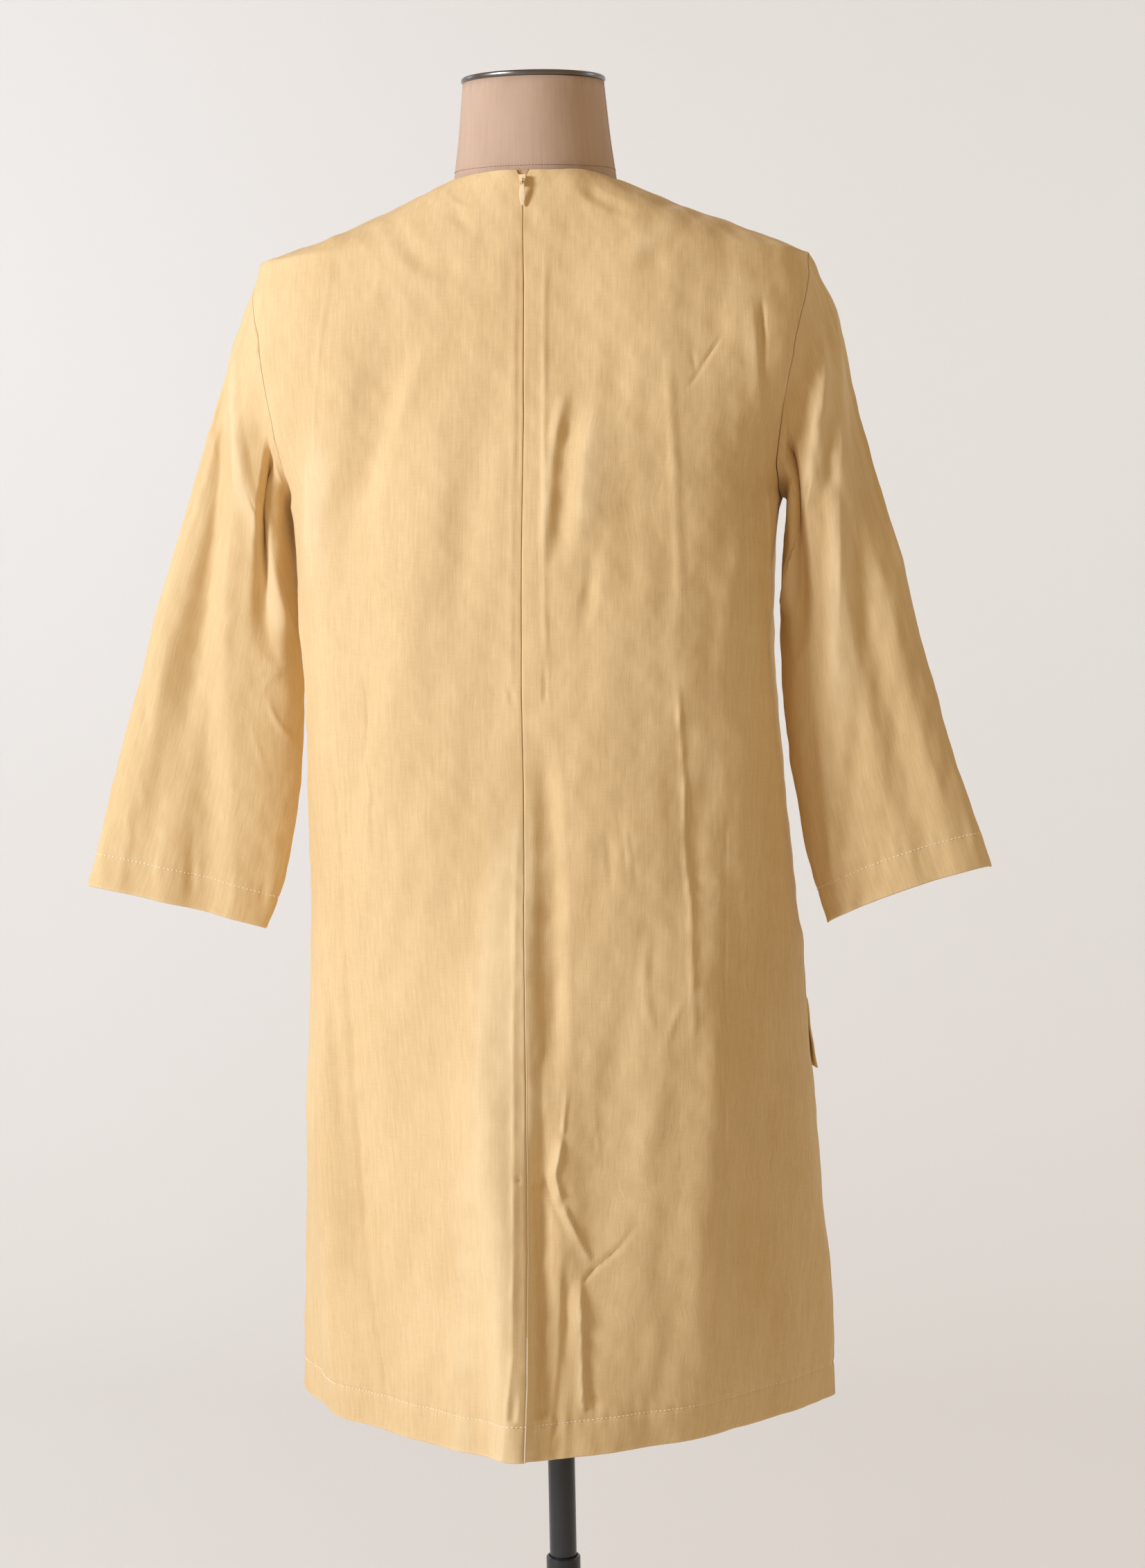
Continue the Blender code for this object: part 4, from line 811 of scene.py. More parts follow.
shares = column_shares(BACK_COLUMNS)
levels, shifts = np.array(SEAM_WANDER).T
for side in (LEFT, RIGHT):
    grid = backs[side][0]
    grid[:, :, 0] += np.interp(grid[:, :, 2], levels, shifts) / 1000 * (1 - shares) ** 3

form_surface = surface("dress_form")
lines = [(crease, crease_line(crease)) for crease in body_creases]


def dress_body(grid, normals):
    """A body panel with creases, turned-up hem and unevenness, clear of the form."""
    creases = sum(crease_height(grid, crease, line) for crease, line in lines)
    from_edge = lengths_along(grid, 0)
    lift, thick = turn_up(grid, from_edge)
    uneven = (ripple(grid, 3, 0.070, 0.00070) + ripple(grid, 4, 0.024, 0.00026, tall=2.4)
              + ripple(grid, 7, 0.011, 0.00006, tall=1.6))
    loose = np.clip(normals[:, :, 1], 0, 1) * BACK_EASE * bump(
        grid[:, :, 2] - BACK_EASE_Z, BACK_EASE_REACH)
    outer = grid + normals * (creases + lift + uneven + loose)[:, :, None]
    wear = np.clip(creases / WEAR_RISE, 0, 1) + np.exp(-from_edge / WEAR_EDGE)
    return Cloth(keep_clear(outer, normals, form_surface), normals, thick, wear)


backs = {side: dress_body(*backs[side]) for side in (LEFT, RIGHT)}
fronts = {side: dress_body(*fronts[side]) for side in (LEFT, RIGHT)}
print(len(body_creases), "creases on the body")

# %% Creases and cuffs of the sleeves
sleeves = {side: sleeve_grid(side) for side in (LEFT, RIGHT)}
sleeve_creases = creases_on(sleeve=True)
sleeve_lines = [(crease, crease_line(crease)) for crease in sleeve_creases]

# height, and x of the long valley and of the back fold of the left sleeve, all in metres
TURN_LINES = [
    (0.865, 0.247, 0.172), (1.050, 0.245, 0.180), (1.090, 0.243, 0.193),
    (1.150, 0.237, 0.203), (1.200, 0.231, 0.215), (1.270, 0.222, 0.219),
]
TURN_BACK, TURN_FORWARD = 0.013, 0.008      # how far the outer and the inner edge swing
TURN_REACH, TURN_TOP, TURN_FADE = 0.024, 1.27, 0.10


def turned(grid):
    """How far the left sleeve's two edges swing back and forward, both walls together."""
    level, valley, fold = np.array(TURN_LINES).T
    x, z = grid[:, :, 0], grid[:, :, 2]
    valley, fold = np.interp(z, level, valley), np.interp(z, level, fold)
    edge = np.maximum(x.max(axis=1, keepdims=True), valley + 0.01)
    outer = ease(np.clip((x - valley) / (edge - valley), 0, 1))
    inner = ease(np.clip((fold - x) / TURN_REACH, 0, 1))
    fade = ease(np.clip((TURN_TOP - z) / TURN_FADE, 0, 1))
    return (TURN_BACK * outer - TURN_FORWARD * inner) * fade


def dress_sleeve(side):
    grid, normals = sleeves[side]
    word = "sleeve_left" if side == LEFT else "sleeve_right"
    creases = sum(crease_height(grid, crease, line) for crease, line in sleeve_lines
                  if crease.panel.startswith(word))
    from_edge = lengths_along(grid[::-1], 0)[::-1]
    lift, thick = turn_up(grid, from_edge)
    uneven = (ripple(grid, 5, 0.060, 0.00060) + ripple(grid, 6, 0.021, 0.00022, tall=2.2)
              + ripple(grid, 8, 0.011, 0.00006, tall=1.6))
    sewn = ease(np.arange(len(grid)) / 9)[:, None]          # nothing moves on the armhole seam
    outer = grid + normals * ((creases + lift + uneven) * sewn)[:, :, None]
    if side == LEFT:
        outer[:, :, 1] += turned(grid) * sewn
    wear = np.clip(creases / WEAR_RISE, 0, 1) + np.exp(-from_edge / WEAR_EDGE)
    return Cloth(outer, normals, thick, wear)


sleeves = {side: dress_sleeve(side) for side in (LEFT, RIGHT)}
print(len(sleeve_creases), "creases on the sleeves")

# %% [markdown]
# ## A sheet with two sides and rounded edges
# Real cloth ends in a fold, not in a sharp corner.  So each wall is two grids, the face and the
# back of the cloth, joined round the edge by a narrow half-round strip.  Where two panels meet,
# their two rounded edges leave the fine groove of a seam.  The hidden back has half the rows and
# columns, which leaves more faces for the creases.  A UV map in metres follows the grain, and the
# attribute "wear" says where the cloth is folded or rubbed.

# %% Sheet builder
EDGE_STEPS = 3              # faces round an edge


def edge_loops(rows, columns, closed):
    """Index loops (row, column) round the free edges of a grid."""
    if closed:
        return [[(0, c) for c in range(columns)], [(rows - 1, c) for c in range(columns)]]
    loop = [(0, c) for c in range(columns)] + [(r, columns - 1) for r in range(1, rows)]
    loop += [(rows - 1, c) for c in range(columns - 2, -1, -1)]
    loop += [(r, 0) for r in range(rows - 2, 0, -1)]
    return [loop]


def quads(index, closed):
    """Faces of a grid of vertex numbers."""
    if closed:
        index = np.concatenate([index, index[:, :1]], axis=1)
    return np.stack([index[:-1, :-1], index[:-1, 1:], index[1:, 1:], index[1:, :-1]],
                    axis=-1).reshape(-1, 4)


def sheet(name, cloth, closed=False):
    """A cloth wall whose face is cloth.outer, with half-round edges, as a mesh object."""
    outer = cloth.outer.copy()
    rows, columns = outer.shape[:2]
    inner = outer - cloth.thick[:, :, None] * cloth.normals
    down, side = np.gradient(outer, axis=0), np.gradient(outer, axis=1)
    uv = np.stack([lengths_along(outer, 1), lengths_along(outer, 0)], axis=2)
    index = np.arange(rows * columns).reshape(rows, columns)
    half = np.arange(index[::2, ::2].size).reshape(index[::2, ::2].shape) + index.size
    strips = []
    for loop in edge_loops(rows, columns, closed):
        r, c = np.array(loop).T
        away = np.where(r == rows - 1, 1, np.where(r == 0, -1, 0))[:, None] * unit(down[r, c])
        if not closed:
            away = away + np.where(c == columns - 1, 1, np.where(c == 0, -1, 0))[:, None] \
                * unit(side[r, c])
        across = outer[r, c] - inner[r, c]
        radius = np.linalg.norm(across, axis=1, keepdims=True) / 2
        away = unit(away - across * np.sum(away * across, axis=1, keepdims=True)
                    / np.sum(across * across, axis=1, keepdims=True))
        outer[r, c] -= away * radius
        inner[r, c] -= away * radius
        middle, reach = (outer[r, c] + inner[r, c]) / 2, (outer[r, c] - inner[r, c]) / 2
        turns = [math.pi * k / (EDGE_STEPS + 1) for k in range(1, EDGE_STEPS + 1)]
        strips.append((r, c, [middle + math.cos(a) * reach + math.sin(a) * away * radius
                              for a in turns]))
    verts = [outer.reshape(-1, 3), inner[::2, ::2].reshape(-1, 3)]
    extra = [(uv[::2, ::2].reshape(-1, 2), cloth.wear[::2, ::2].ravel())]
    faces = [quads(index, closed), quads(half, closed)[:, ::-1]]
    start = index.size + half.size
    thirds = []
    for r, c, rings in strips:
        chain = [index[r, c]]
        for ring in rings:
            verts.append(ring)
            extra.append((uv[r, c], cloth.wear[r, c]))
            chain.append(start + np.arange(len(ring)))
            start += len(ring)
        for low, high in zip(chain, chain[1:]):
            faces.append(np.stack([low, np.roll(low, -1), np.roll(high, -1), high], axis=-1))
        rim, last = half[r[::2] // 2, c[::2] // 2], chain[-1]
        here, between, there = last[::2], last[1::2], np.roll(last[::2], -1)
        thirds += [np.stack([here, between, rim], axis=-1),
                   np.stack([between, there, np.roll(rim, -1)], axis=-1),
                   np.stack([rim, between, np.roll(rim, -1)], axis=-1)]
    mesh = bpy.data.meshes.new(name)
    mesh.from_pydata(np.concatenate(verts).tolist(), [],
                     np.concatenate(faces).tolist() + np.concatenate(thirds).tolist())
    thing = bpy.data.objects.new(name, mesh)
    scene.collection.objects.link(thing)
    face_outwards(mesh)
    mesh.shade_smooth()
    girth = uv[:, -1, 0].mean() * columns / (columns - 1)
    grain(mesh, np.concatenate([uv.reshape(-1, 2)] + [e[0] for e in extra]), girth)
    wear = mesh.attributes.new("wear", "FLOAT", "POINT")
    wear.data.foreach_set("value", np.concatenate([cloth.wear.ravel()] + [e[1] for e in extra])
                          .astype(np.float32))
    return thing


def grain(mesh, uv, girth):
    """A UV map in metres; a face across the join of a tube gets one unbroken piece of it."""
    corner = np.empty(len(mesh.loops), np.int32)
    mesh.loops.foreach_get("vertex_index", corner)
    starts = np.empty(len(mesh.polygons), np.int32)
    mesh.polygons.foreach_get("loop_start", starts)
    spread = uv[corner]
    widest = np.maximum.reduceat(spread[:, 0], starts)
    widest = np.repeat(widest, np.diff(np.append(starts, len(corner))))
    spread[:, 0] += np.where(widest - spread[:, 0] > girth / 2, girth, 0)
    layer = mesh.uv_layers.new(name="grain")
    layer.data.foreach_set("uv", spread.ravel().astype(np.float32))


def face_outwards(mesh):
    """Recalculate the normals of a closed mesh so that its faces point outwards."""
    bm = bmesh.new()
    bm.from_mesh(mesh)
    bmesh.ops.recalc_face_normals(bm, faces=bm.faces)
    bm.to_mesh(mesh)
    bm.free()


# %% [markdown]
# ## Writing shaders as sums
# Shader maths reads best as Python.  A Wire wraps one output socket, and each operator adds its
# Math node.  Every other node comes from one method, which takes the node's type, its settings
# and then the values or wires of its sockets.

# %% Wires and finishes
class Wire:
    """An output socket that can be used in sums."""

    def __init__(self, tree, socket):
        self.tree, self.socket = tree, socket

    def maths(self, operation, *values):
        return add(self.tree, "ShaderNodeMath", {"operation": operation},
                   dict(enumerate(values)))

    def __add__(self, other):
        return self.maths("ADD", self, other)

    def __sub__(self, other):
        return self.maths("SUBTRACT", self, other)

    def __mul__(self, other):
        return self.maths("MULTIPLY", self, other)

    def __truediv__(self, other):
        return self.maths("DIVIDE", self, other)

    def __rsub__(self, other):
        return self.maths("SUBTRACT", other, self)

    __radd__, __rmul__ = __add__, __mul__

    def sine(self):
        return self.maths("SINE", self)

    def size(self):
        return self.maths("ABSOLUTE", self)

    def between(self, low, high):
        """0 below `low`, 1 above `high`, smooth between them."""
        return add(self.tree, "ShaderNodeMapRange", {"interpolation_type": "SMOOTHSTEP"},
                   {"Value": self, "From Min": low, "From Max": high})


def add(tree, kind, settings=None, sockets=None, output=0):
    """A node of this kind, with its settings, then its sockets' values or wires."""
    node = tree.nodes.new(kind)
    for key, value in (settings or {}).items():
        setattr(node, key, value)
    for key, value in (sockets or {}).items():
        if isinstance(value, Wire):
            tree.links.new(value.socket, node.inputs[key])
        else:
            node.inputs[key].default_value = value
    return Wire(tree, node.outputs[output])


def begin(name, roughness, metallic=0.0, **steady):
    """A new material: its tree, and its shader with the constants set on its own sockets."""
    made = bpy.data.materials.new(name)
    made.use_nodes = True
    shader = made.node_tree.nodes["Principled BSDF"]
    shader.inputs["Roughness"].default_value = roughness
    shader.inputs["Metallic"].default_value = metallic
    for key, value in steady.items():
        shader.inputs[key.replace("_", " ")].default_value = value
    return made, made.node_tree, shader


def noise(tree, vector, scale, detail=2.0, stretch=(1, 1, 1)):
    """Noise from 0 to 1 on a vector, stretched along its axes."""
    placed = add(tree, "ShaderNodeMapping", {}, {"Vector": vector, "Scale": stretch})
    return add(tree, "ShaderNodeTexNoise", {},
               {"Vector": placed, "Scale": scale, "Detail": detail})


def blend_colours(tree, share, low, high):
    """Mix of two colours by a share from 0 to 1."""
    node = tree.nodes.new("ShaderNodeMix")
    node.data_type = "RGBA"
    for socket, value in zip((node.inputs[0], node.inputs[6], node.inputs[7]), (share, low, high)):
        if isinstance(value, Wire):
            tree.links.new(value.socket, socket)
        else:
            socket.default_value = (*value, 1) if isinstance(value, tuple) else value
    return Wire(tree, node.outputs[2])


def finish(tree, shader, colour, roughness=None, height=None, strength=0.3, distance=0.0003):
    """Connect what varies: colour, roughness and the height of a bump."""
    tree.links.new(colour.socket, shader.inputs["Base Color"])
    if roughness:
        tree.links.new(roughness.socket, shader.inputs["Roughness"])
    if height:
        bump_node = add(tree, "ShaderNodeBump", {}, {"Height": height, "Strength": strength,
                                                     "Distance": distance})
        tree.links.new(bump_node.socket, shader.inputs["Normal"])


# %% [markdown]
# ## The cotton
# A plain weave in sand-coloured cotton.  Its yarns are uneven: each thick place, a slub, shows as
# a fine streak along the warp, and a fainter one along the weft.  Washing leaves faint clouds, and
# the cloth is paler where it is folded.

# %% Cotton
def cotton_finish(name, dark, light, pale):
    made, tree, shader = begin(name, 0.85, Sheen_Weight=0.12, Sheen_Roughness=0.45)
    shader.inputs["Specular IOR Level"].default_value = 0.25
    grain_map = add(tree, "ShaderNodeUVMap", {"uv_map": "grain"})
    space = add(tree, "ShaderNodeTexCoord", {}, {}, "Object")
    warp = noise(tree, grain_map, 1.0, 3.0, (1150, 62, 1))
    weft = noise(tree, grain_map, 1.0, 3.0, (75, 1000, 1))
    coarse = noise(tree, grain_map, 1.0, 1.0, (420, 20, 1))
    clouds = noise(tree, space, 11.0, 4.0, (1, 1, 0.6))
    wear = add(tree, "ShaderNodeAttribute", {"attribute_name": "wear"}, {}, "Fac")
    tone = warp * 0.52 + weft * 0.24 + coarse * 0.30 + clouds * 0.62 - 0.34
    cloth_colour = blend_colours(tree, tone.between(0.0, 1.0), dark, light)
    colour = blend_colours(tree, (wear * 0.16).between(0.0, 0.5), cloth_colour, pale)
    finish(tree, shader, colour, clouds * 0.12 + 0.78, warp + weft * 0.6 + coarse * 0.5,
           0.42, 0.00022)
    return made


cotton = cotton_finish("cotton", (0.650, 0.450, 0.205), (0.870, 0.655, 0.355), (0.93, 0.76, 0.48))
# The tape gets darker colours than the cotton: painted shade of the narrow gap where it shows.
shaded_tape_cotton = cotton_finish("zip_tape_weave_painted_shade", (0.50, 0.33, 0.15), (0.66, 0.46, 0.24),
                            (0.70, 0.50, 0.28))

# %% [markdown]
# ## The cloth pieces
# Two backs, a front and two sleeves, each made as a sheet and hung on the figure, so that they
# rise and fall with the form on its post.


# %% Panels and sleeves
def hang(thing, node, finish_of=cotton):
    thing.data.materials.append(finish_of)
    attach(thing, "figure")
    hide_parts(node)
    print(thing.name, len(thing.data.polygons), "faces")
    return thing


for side, word in ((LEFT, "left"), (RIGHT, "right")):
    hang(sheet("back_panel_" + word, backs[side]), "back_" + word)
    hang(sheet("set_in_sleeve_" + word, sleeves[side], closed=True), "sleeve_" + word)
whole_front = Cloth(*(np.concatenate([a[:, :0:-1], b], axis=1)
                      for a, b in zip(fronts[RIGHT], fronts[LEFT])))
hang(sheet("front_panel", whole_front), "front")

# %% [markdown]
# ## Hip flaps
# A flap is folded double, pressed and caught into the front at its upper edge.  It is made from
# the front's own points, moved out.  The right one's rear corner stands off and shows from behind.

# %% Flaps
FLAP_SHARES = (5 / 12, 11 / 12)
FLAP_TOP, FLAP_BOTTOM = 0.790, 0.739
FLAP_COLUMNS, FLAP_ROWS = 72, 30
FLAP_CLOTH, FLAP_LIFT, FLAP_EASE = 0.0015, 0.0006, 0.0012
FLAP_CURL = {LEFT: 0.0012, RIGHT: 0.0035}
FLAP_OPENS, CORNER_POWER = 1.5, 3


def flap(side):
    """Points of a flap, read off the creased front and moved out from it."""
    front = fronts[side]
    wanted = np.linspace(*FLAP_SHARES, FLAP_COLUMNS + 1)
    have = column_shares(FRONT_COLUMNS)
    heights = front.outer[:, 0, 2]
    down = np.linspace(0, 1, FLAP_ROWS + 1)
    rows = np.interp(FLAP_TOP + (FLAP_BOTTOM - FLAP_TOP) * down, heights[:200], np.arange(200))
    low = rows.astype(int)
    part = (rows - low)[:, None, None]

    def read(field):
        lined = field[low] * (1 - part) + field[low + 1] * part
        return np.stack([np.stack([np.interp(wanted, have, line[:, k]) for k in range(3)], axis=1)
                         for line in lined])

    points, normals = read(front.outer), unit(read(front.normals))
    rear = np.linspace(0, 1, FLAP_COLUMNS + 1)
    opening = FLAP_EASE + (FLAP_CURL[side] - FLAP_EASE) * rear**CORNER_POWER
    lift = FLAP_LIFT + FLAP_CLOTH + down[:, None] ** FLAP_OPENS * opening
    edge = np.minimum(np.minimum(rear, 1 - rear)[None, :] * 0.13, (1 - down)[:, None] * 0.051)
    lift = lift - 0.00012 * np.exp(-((edge - 0.006) / 0.0012) ** 2)
    return Cloth(points + normals * lift[:, :, None], normals,
                 np.full(lift.shape, FLAP_CLOTH), np.exp(-edge / 0.0012))


flaps = {side: flap(side) for side in (LEFT, RIGHT)}
for side, word in ((LEFT, "left"), (RIGHT, "right")):
    hang(sheet("hip_flap_" + word, flaps[side]), "pocket_flap_" + word)

# %% [markdown]
# ## Stitches
# A row of lockstitches is the same small oval again and again along a line, so Geometry Nodes set
# it: the line is cut into even steps, each step gets an oval turned along the line, and the ovals
# become one plain mesh.

# %% A tree for rows of stitches
def stitch_tree():
    tree = bpy.data.node_groups.new("row_of_stitches", "GeometryNodeTree")
    face = tree.interface
    face.new_socket("Geometry", in_out="INPUT", socket_type="NodeSocketGeometry")
    for name, value in (("Pitch", 0.003), ("Along", 0.0022), ("Across", 0.0005), ("High", 0.0004),
                        ("Uneven", 0.15)):
        face.new_socket(name, in_out="INPUT", socket_type="NodeSocketFloat").default_value = value
    face.new_socket("Seed", in_out="INPUT", socket_type="NodeSocketInt")
    face.new_socket("Thread", in_out="INPUT", socket_type="NodeSocketMaterial")
    face.new_socket("Geometry", in_out="OUTPUT", socket_type="NodeSocketGeometry")
    given = tree.nodes.new("NodeGroupInput")

    def socket(name):
        return Wire(tree, given.outputs[name])

    line = add(tree, "GeometryNodeMeshToCurve", {}, {"Mesh": socket("Geometry")})
    steps = add(tree, "GeometryNodeResampleCurve", {"mode": "LENGTH"},
                {"Curve": line, "Length": socket("Pitch")})
    facing = add(tree, "GeometryNodeInputNamedAttribute", {"data_type": "FLOAT_VECTOR"},
                 {"Name": "facing"})
    tangent = add(tree, "GeometryNodeInputTangent")
    upright = add(tree, "FunctionNodeAlignRotationToVector", {"axis": "Z"}, {"Vector": facing})
    turned = add(tree, "FunctionNodeAlignRotationToVector", {"axis": "X", "pivot_axis": "Z"},
                 {"Rotation": upright, "Vector": tangent})
    oval = add(tree, "GeometryNodeMeshUVSphere", {},
               {"Segments": 6, "Rings": 4, "Radius": 0.5})
    uneven = socket("Uneven")
    change = add(tree, "FunctionNodeRandomValue", {"data_type": "FLOAT"},
                 {2: 1 - uneven, 3: 1 + uneven, "Seed": socket("Seed")}, 1)
    size = add(tree, "ShaderNodeCombineXYZ", {}, {"X": socket("Along") * change,
                                                  "Y": socket("Across"), "Z": socket("High")})
    ovals = add(tree, "GeometryNodeInstanceOnPoints", {},
                {"Points": steps, "Instance": oval, "Rotation": turned, "Scale": size})
    real = add(tree, "GeometryNodeRealizeInstances", {}, {"Geometry": ovals})
    done = add(tree, "GeometryNodeSetMaterial", {},
               {"Geometry": real, "Material": socket("Thread")})
    tree.links.new(done.socket, tree.nodes.new("NodeGroupOutput").inputs["Geometry"])
    return tree


STITCH_TREE = stitch_tree()
SOCKET_ID = {item.name: item.identifier for item in STITCH_TREE.interface.items_tree
             if item.in_out == "INPUT"}


def stitch(name, rows, body, slot, **sizes):
    """One mesh of stitches along rows of (points, facing, closed)."""
    points, edges, facing = [], [], []
    for row, normals, closed in rows:
        start, count = len(points), len(row)
        points += row.tolist()
        facing.append(normals)
        edges += [(start + i, start + (i + 1) % count) for i in range(count - (not closed))]
    mesh = bpy.data.meshes.new(name)
    mesh.from_pydata(points, edges, [])
    mesh.attributes.new("facing", "FLOAT_VECTOR", "POINT").data.foreach_set(
        "vector", np.concatenate(facing).astype(np.float32).ravel())
    thing = bpy.data.objects.new(name, mesh)
    scene.collection.objects.link(thing)
    modifier = thing.modifiers.new("stitches", "NODES")
    modifier.node_group = STITCH_TREE
    for key, value in sizes.items():
        modifier[SOCKET_ID[key]] = value
    thing.update_tag()
    ready = thing.evaluated_get(bpy.context.evaluated_depsgraph_get())
    made = bpy.data.meshes.new_from_object(ready)
    thing.modifiers.clear()
    thing.data = made
    made.name = name
    made.shade_smooth()
    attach(thing, body)
    print(name, len(made.polygons), "faces")
    return thing


def thread_finish(name, dark, light):
    made, tree, shader = begin(name, 0.55)
    space = add(tree, "ShaderNodeTexCoord", {}, {}, "Object")
    strands = noise(tree, space, 2600.0, 1.0)
    finish(tree, shader, blend_colours(tree, strands, dark, light), strands * 0.2 + 0.45,
           strands, 0.4, 0.0001)
    return made


cotton_thread = thread_finish("cotton_thread", (0.90, 0.78, 0.56), (1.0, 0.93, 0.76))
brown_thread = thread_finish("brown_thread", (0.13, 0.07, 0.045), (0.24, 0.15, 0.10))


# %% Rows on the hem, cuffs and flaps
def level_row(cloth, from_edge, height, closed=False, columns=slice(None)):
    """The line at a height above the cloth's edge, just on its face."""
    points, normals = [], []
    for c in range(cloth.outer.shape[1])[columns]:
        order = np.argsort(from_edge[:, c])
        along = from_edge[order, c]
        points.append([np.interp(height, along, cloth.outer[order, c, k]) for k in range(3)])
        normals.append([np.interp(height, along, cloth.normals[order, c, k]) for k in range(3)])
    points, normals = np.array(points), unit(np.array(normals))
    return points + normals * 0.00006, normals, closed


rows = [level_row(cloth, lengths_along(cloth.outer, 0), TURN_UP)
        for cloth in (backs[LEFT], backs[RIGHT], whole_front)]
stitch("hem_stitches", rows, "figure", "sand_cotton", Thread=cotton_thread, Pitch=0.0031,
       Along=0.0025, Across=0.0007, High=0.0006, Uneven=0.18, Seed=1)
for side, word in ((LEFT, "left"), (RIGHT, "right")):
    cuff = sleeves[side]
    from_cuff = lengths_along(cuff.outer[::-1], 0)[::-1]
    rows = [level_row(cuff, from_cuff, TURN_UP, closed=True)]
    middle = cuff.outer.shape[1] // 2
    rows.append(level_row(cuff, from_cuff, TURN_UP + 0.0006, columns=slice(middle - 6, middle)))
    stitch("cuff_stitches_" + word, rows, "figure", "sand_cotton", Thread=cotton_thread,
           Pitch=0.0031, Along=0.0025, Across=0.0007, High=0.0006, Uneven=0.18, Seed=2)
    front_flap = flaps[side]
    inset_c, inset_r = 3, 4
    around = [(r, FLAP_COLUMNS - inset_c) for r in range(1, FLAP_ROWS - inset_r + 1)]
    around += [(FLAP_ROWS - inset_r, c) for c in range(FLAP_COLUMNS - inset_c - 1, inset_c, -1)]
    around += [(r, inset_c) for r in range(FLAP_ROWS - inset_r, 0, -1)]
    r, c = np.array(around).T
    stitch("flap_stitches_" + word, [(front_flap.outer[r, c] + front_flap.normals[r, c] * 0.00006,
                                      front_flap.normals[r, c], False)],
           "figure", "sand_cotton", Thread=cotton_thread, Pitch=0.0031, Along=0.0025,
           Across=0.0005, High=0.0004, Uneven=0.15, Seed=3)

# %% [markdown]
# ## The zip
# An invisible zip is sewn behind the two backs: a tape on each side, its coils on the inside, a
# small slider at the nape and a teardrop pull.  The tape follows the backs' inner face.  The
# coils show only in the small open V above the slider.

# %% Tape and coils
TAPE_COLUMNS, TAPE_CLOTH, TAPE_BEHIND = 12, 0.0010, 0.0003


def tape():
    """Grid of the tape, just behind the inner face of the two backs."""
    left, right = backs[LEFT].outer, backs[RIGHT].outer
    across = np.linspace(-TAPE_HALF, TAPE_HALF, TAPE_COLUMNS + 1)
    rows = [r for r in range(len(left)) if left[r, 0, 2] >= TAPE_END]
    rows = rows[len(rows) % 2 == 0:]
    points = []
    for r in rows:
        line = np.concatenate([right[r, 30:0:-1], left[r, :31]])
        y, z = (np.interp(across, line[:, 0], line[:, k]) for k in (1, 2))
        points.append(np.stack([across, y - CLOTH - TAPE_BEHIND, z], axis=1))
    points = np.array(points)
    normals = np.zeros_like(points)
    normals[:, :, 1] = 1
    return Cloth(points, normals, np.full(points.shape[:2], TAPE_CLOTH),
                 np.zeros(points.shape[:2]))


zip_cloth = tape()
hang(sheet("woven_zip_tape", zip_cloth), "zip_tape",
     shaded_tape_cotton)
middle = TAPE_COLUMNS // 2
coil_rows = []
for side in (LEFT, RIGHT):
    line = zip_cloth.outer[:, middle].copy()
    line[:, 0] += side * (0.0009 + 0.0022 * ease((line[:, 2] - 1.3745) / 0.007))
    line[:, 1] += 0.00035
    line[:, 2] += 0.0004 * (side > 0)
    coil_rows.append((line, np.tile([0.0, 1.0, 0.0], (len(line), 1)), False))
# The coils get a darker brown than the cloth: painted shade inside the open V.
stitch("zip_coils", coil_rows, "figure", "zip_tape_sand",
       Thread=thread_finish("coil_nylon_painted_shade", (0.42, 0.27, 0.12), (0.60, 0.42, 0.22)),
       Pitch=0.0015, Along=0.0008, Across=0.0021, High=0.0007, Uneven=0.0, Seed=4)

# %% [markdown]
# ## Hard pieces
# Slider, pull, cap, stand and form have the right shapes in the CAD part, but sharp edges and
# loose triangles.  Each is copied, its doubled points are merged and its flat faces joined again,
# and a bevel or a subdivision rounds it.  The copy then stands for its node.


# %% Refined copies
def refined(node, name, body, finish_of, bevel=0.0, segments=2, smooth=0, sharp=40):
    """A finer, rounded copy of a CAD node, which replaces it."""
    mesh = nodes[node].data.copy()
    mesh.name = name
    bm = bmesh.new()
    bm.from_mesh(mesh)
    bmesh.ops.remove_doubles(bm, verts=bm.verts, dist=1e-6)
    bmesh.ops.dissolve_limit(bm, angle_limit=math.radians(0.5), verts=bm.verts, edges=bm.edges)
    if smooth:
        layer = bm.edges.layers.float.new("crease_edge")
        for edge in bm.edges:
            edge[layer] = 1.0 if edge.calc_face_angle(0) > math.radians(sharp) else 0.0
    bmesh.ops.recalc_face_normals(bm, faces=bm.faces)
    bm.to_mesh(mesh)
    bm.free()
    mesh.materials.clear()
    mesh.materials.append(finish_of)
    thing = bpy.data.objects.new(name, mesh)
    scene.collection.objects.link(thing)
    if bevel:
        rounding = thing.modifiers.new("rounding", "BEVEL")
        rounding.width, rounding.segments = bevel, segments
        rounding.limit_method, rounding.angle_limit = "ANGLE", math.radians(sharp)
    if smooth:
        finer = thing.modifiers.new("finer", "SUBSURF")
        finer.levels = finer.render_levels = smooth
    ready = thing.evaluated_get(bpy.context.evaluated_depsgraph_get())
    made = bpy.data.meshes.new_from_object(ready)
    thing.modifiers.clear()
    thing.data = made
    made.name = name
    made.shade_smooth()
    made.set_sharp_from_angle(angle=math.radians(sharp))
    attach(thing, body)
    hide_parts(node)
    print(name, len(made.polygons), "faces")
    return thing


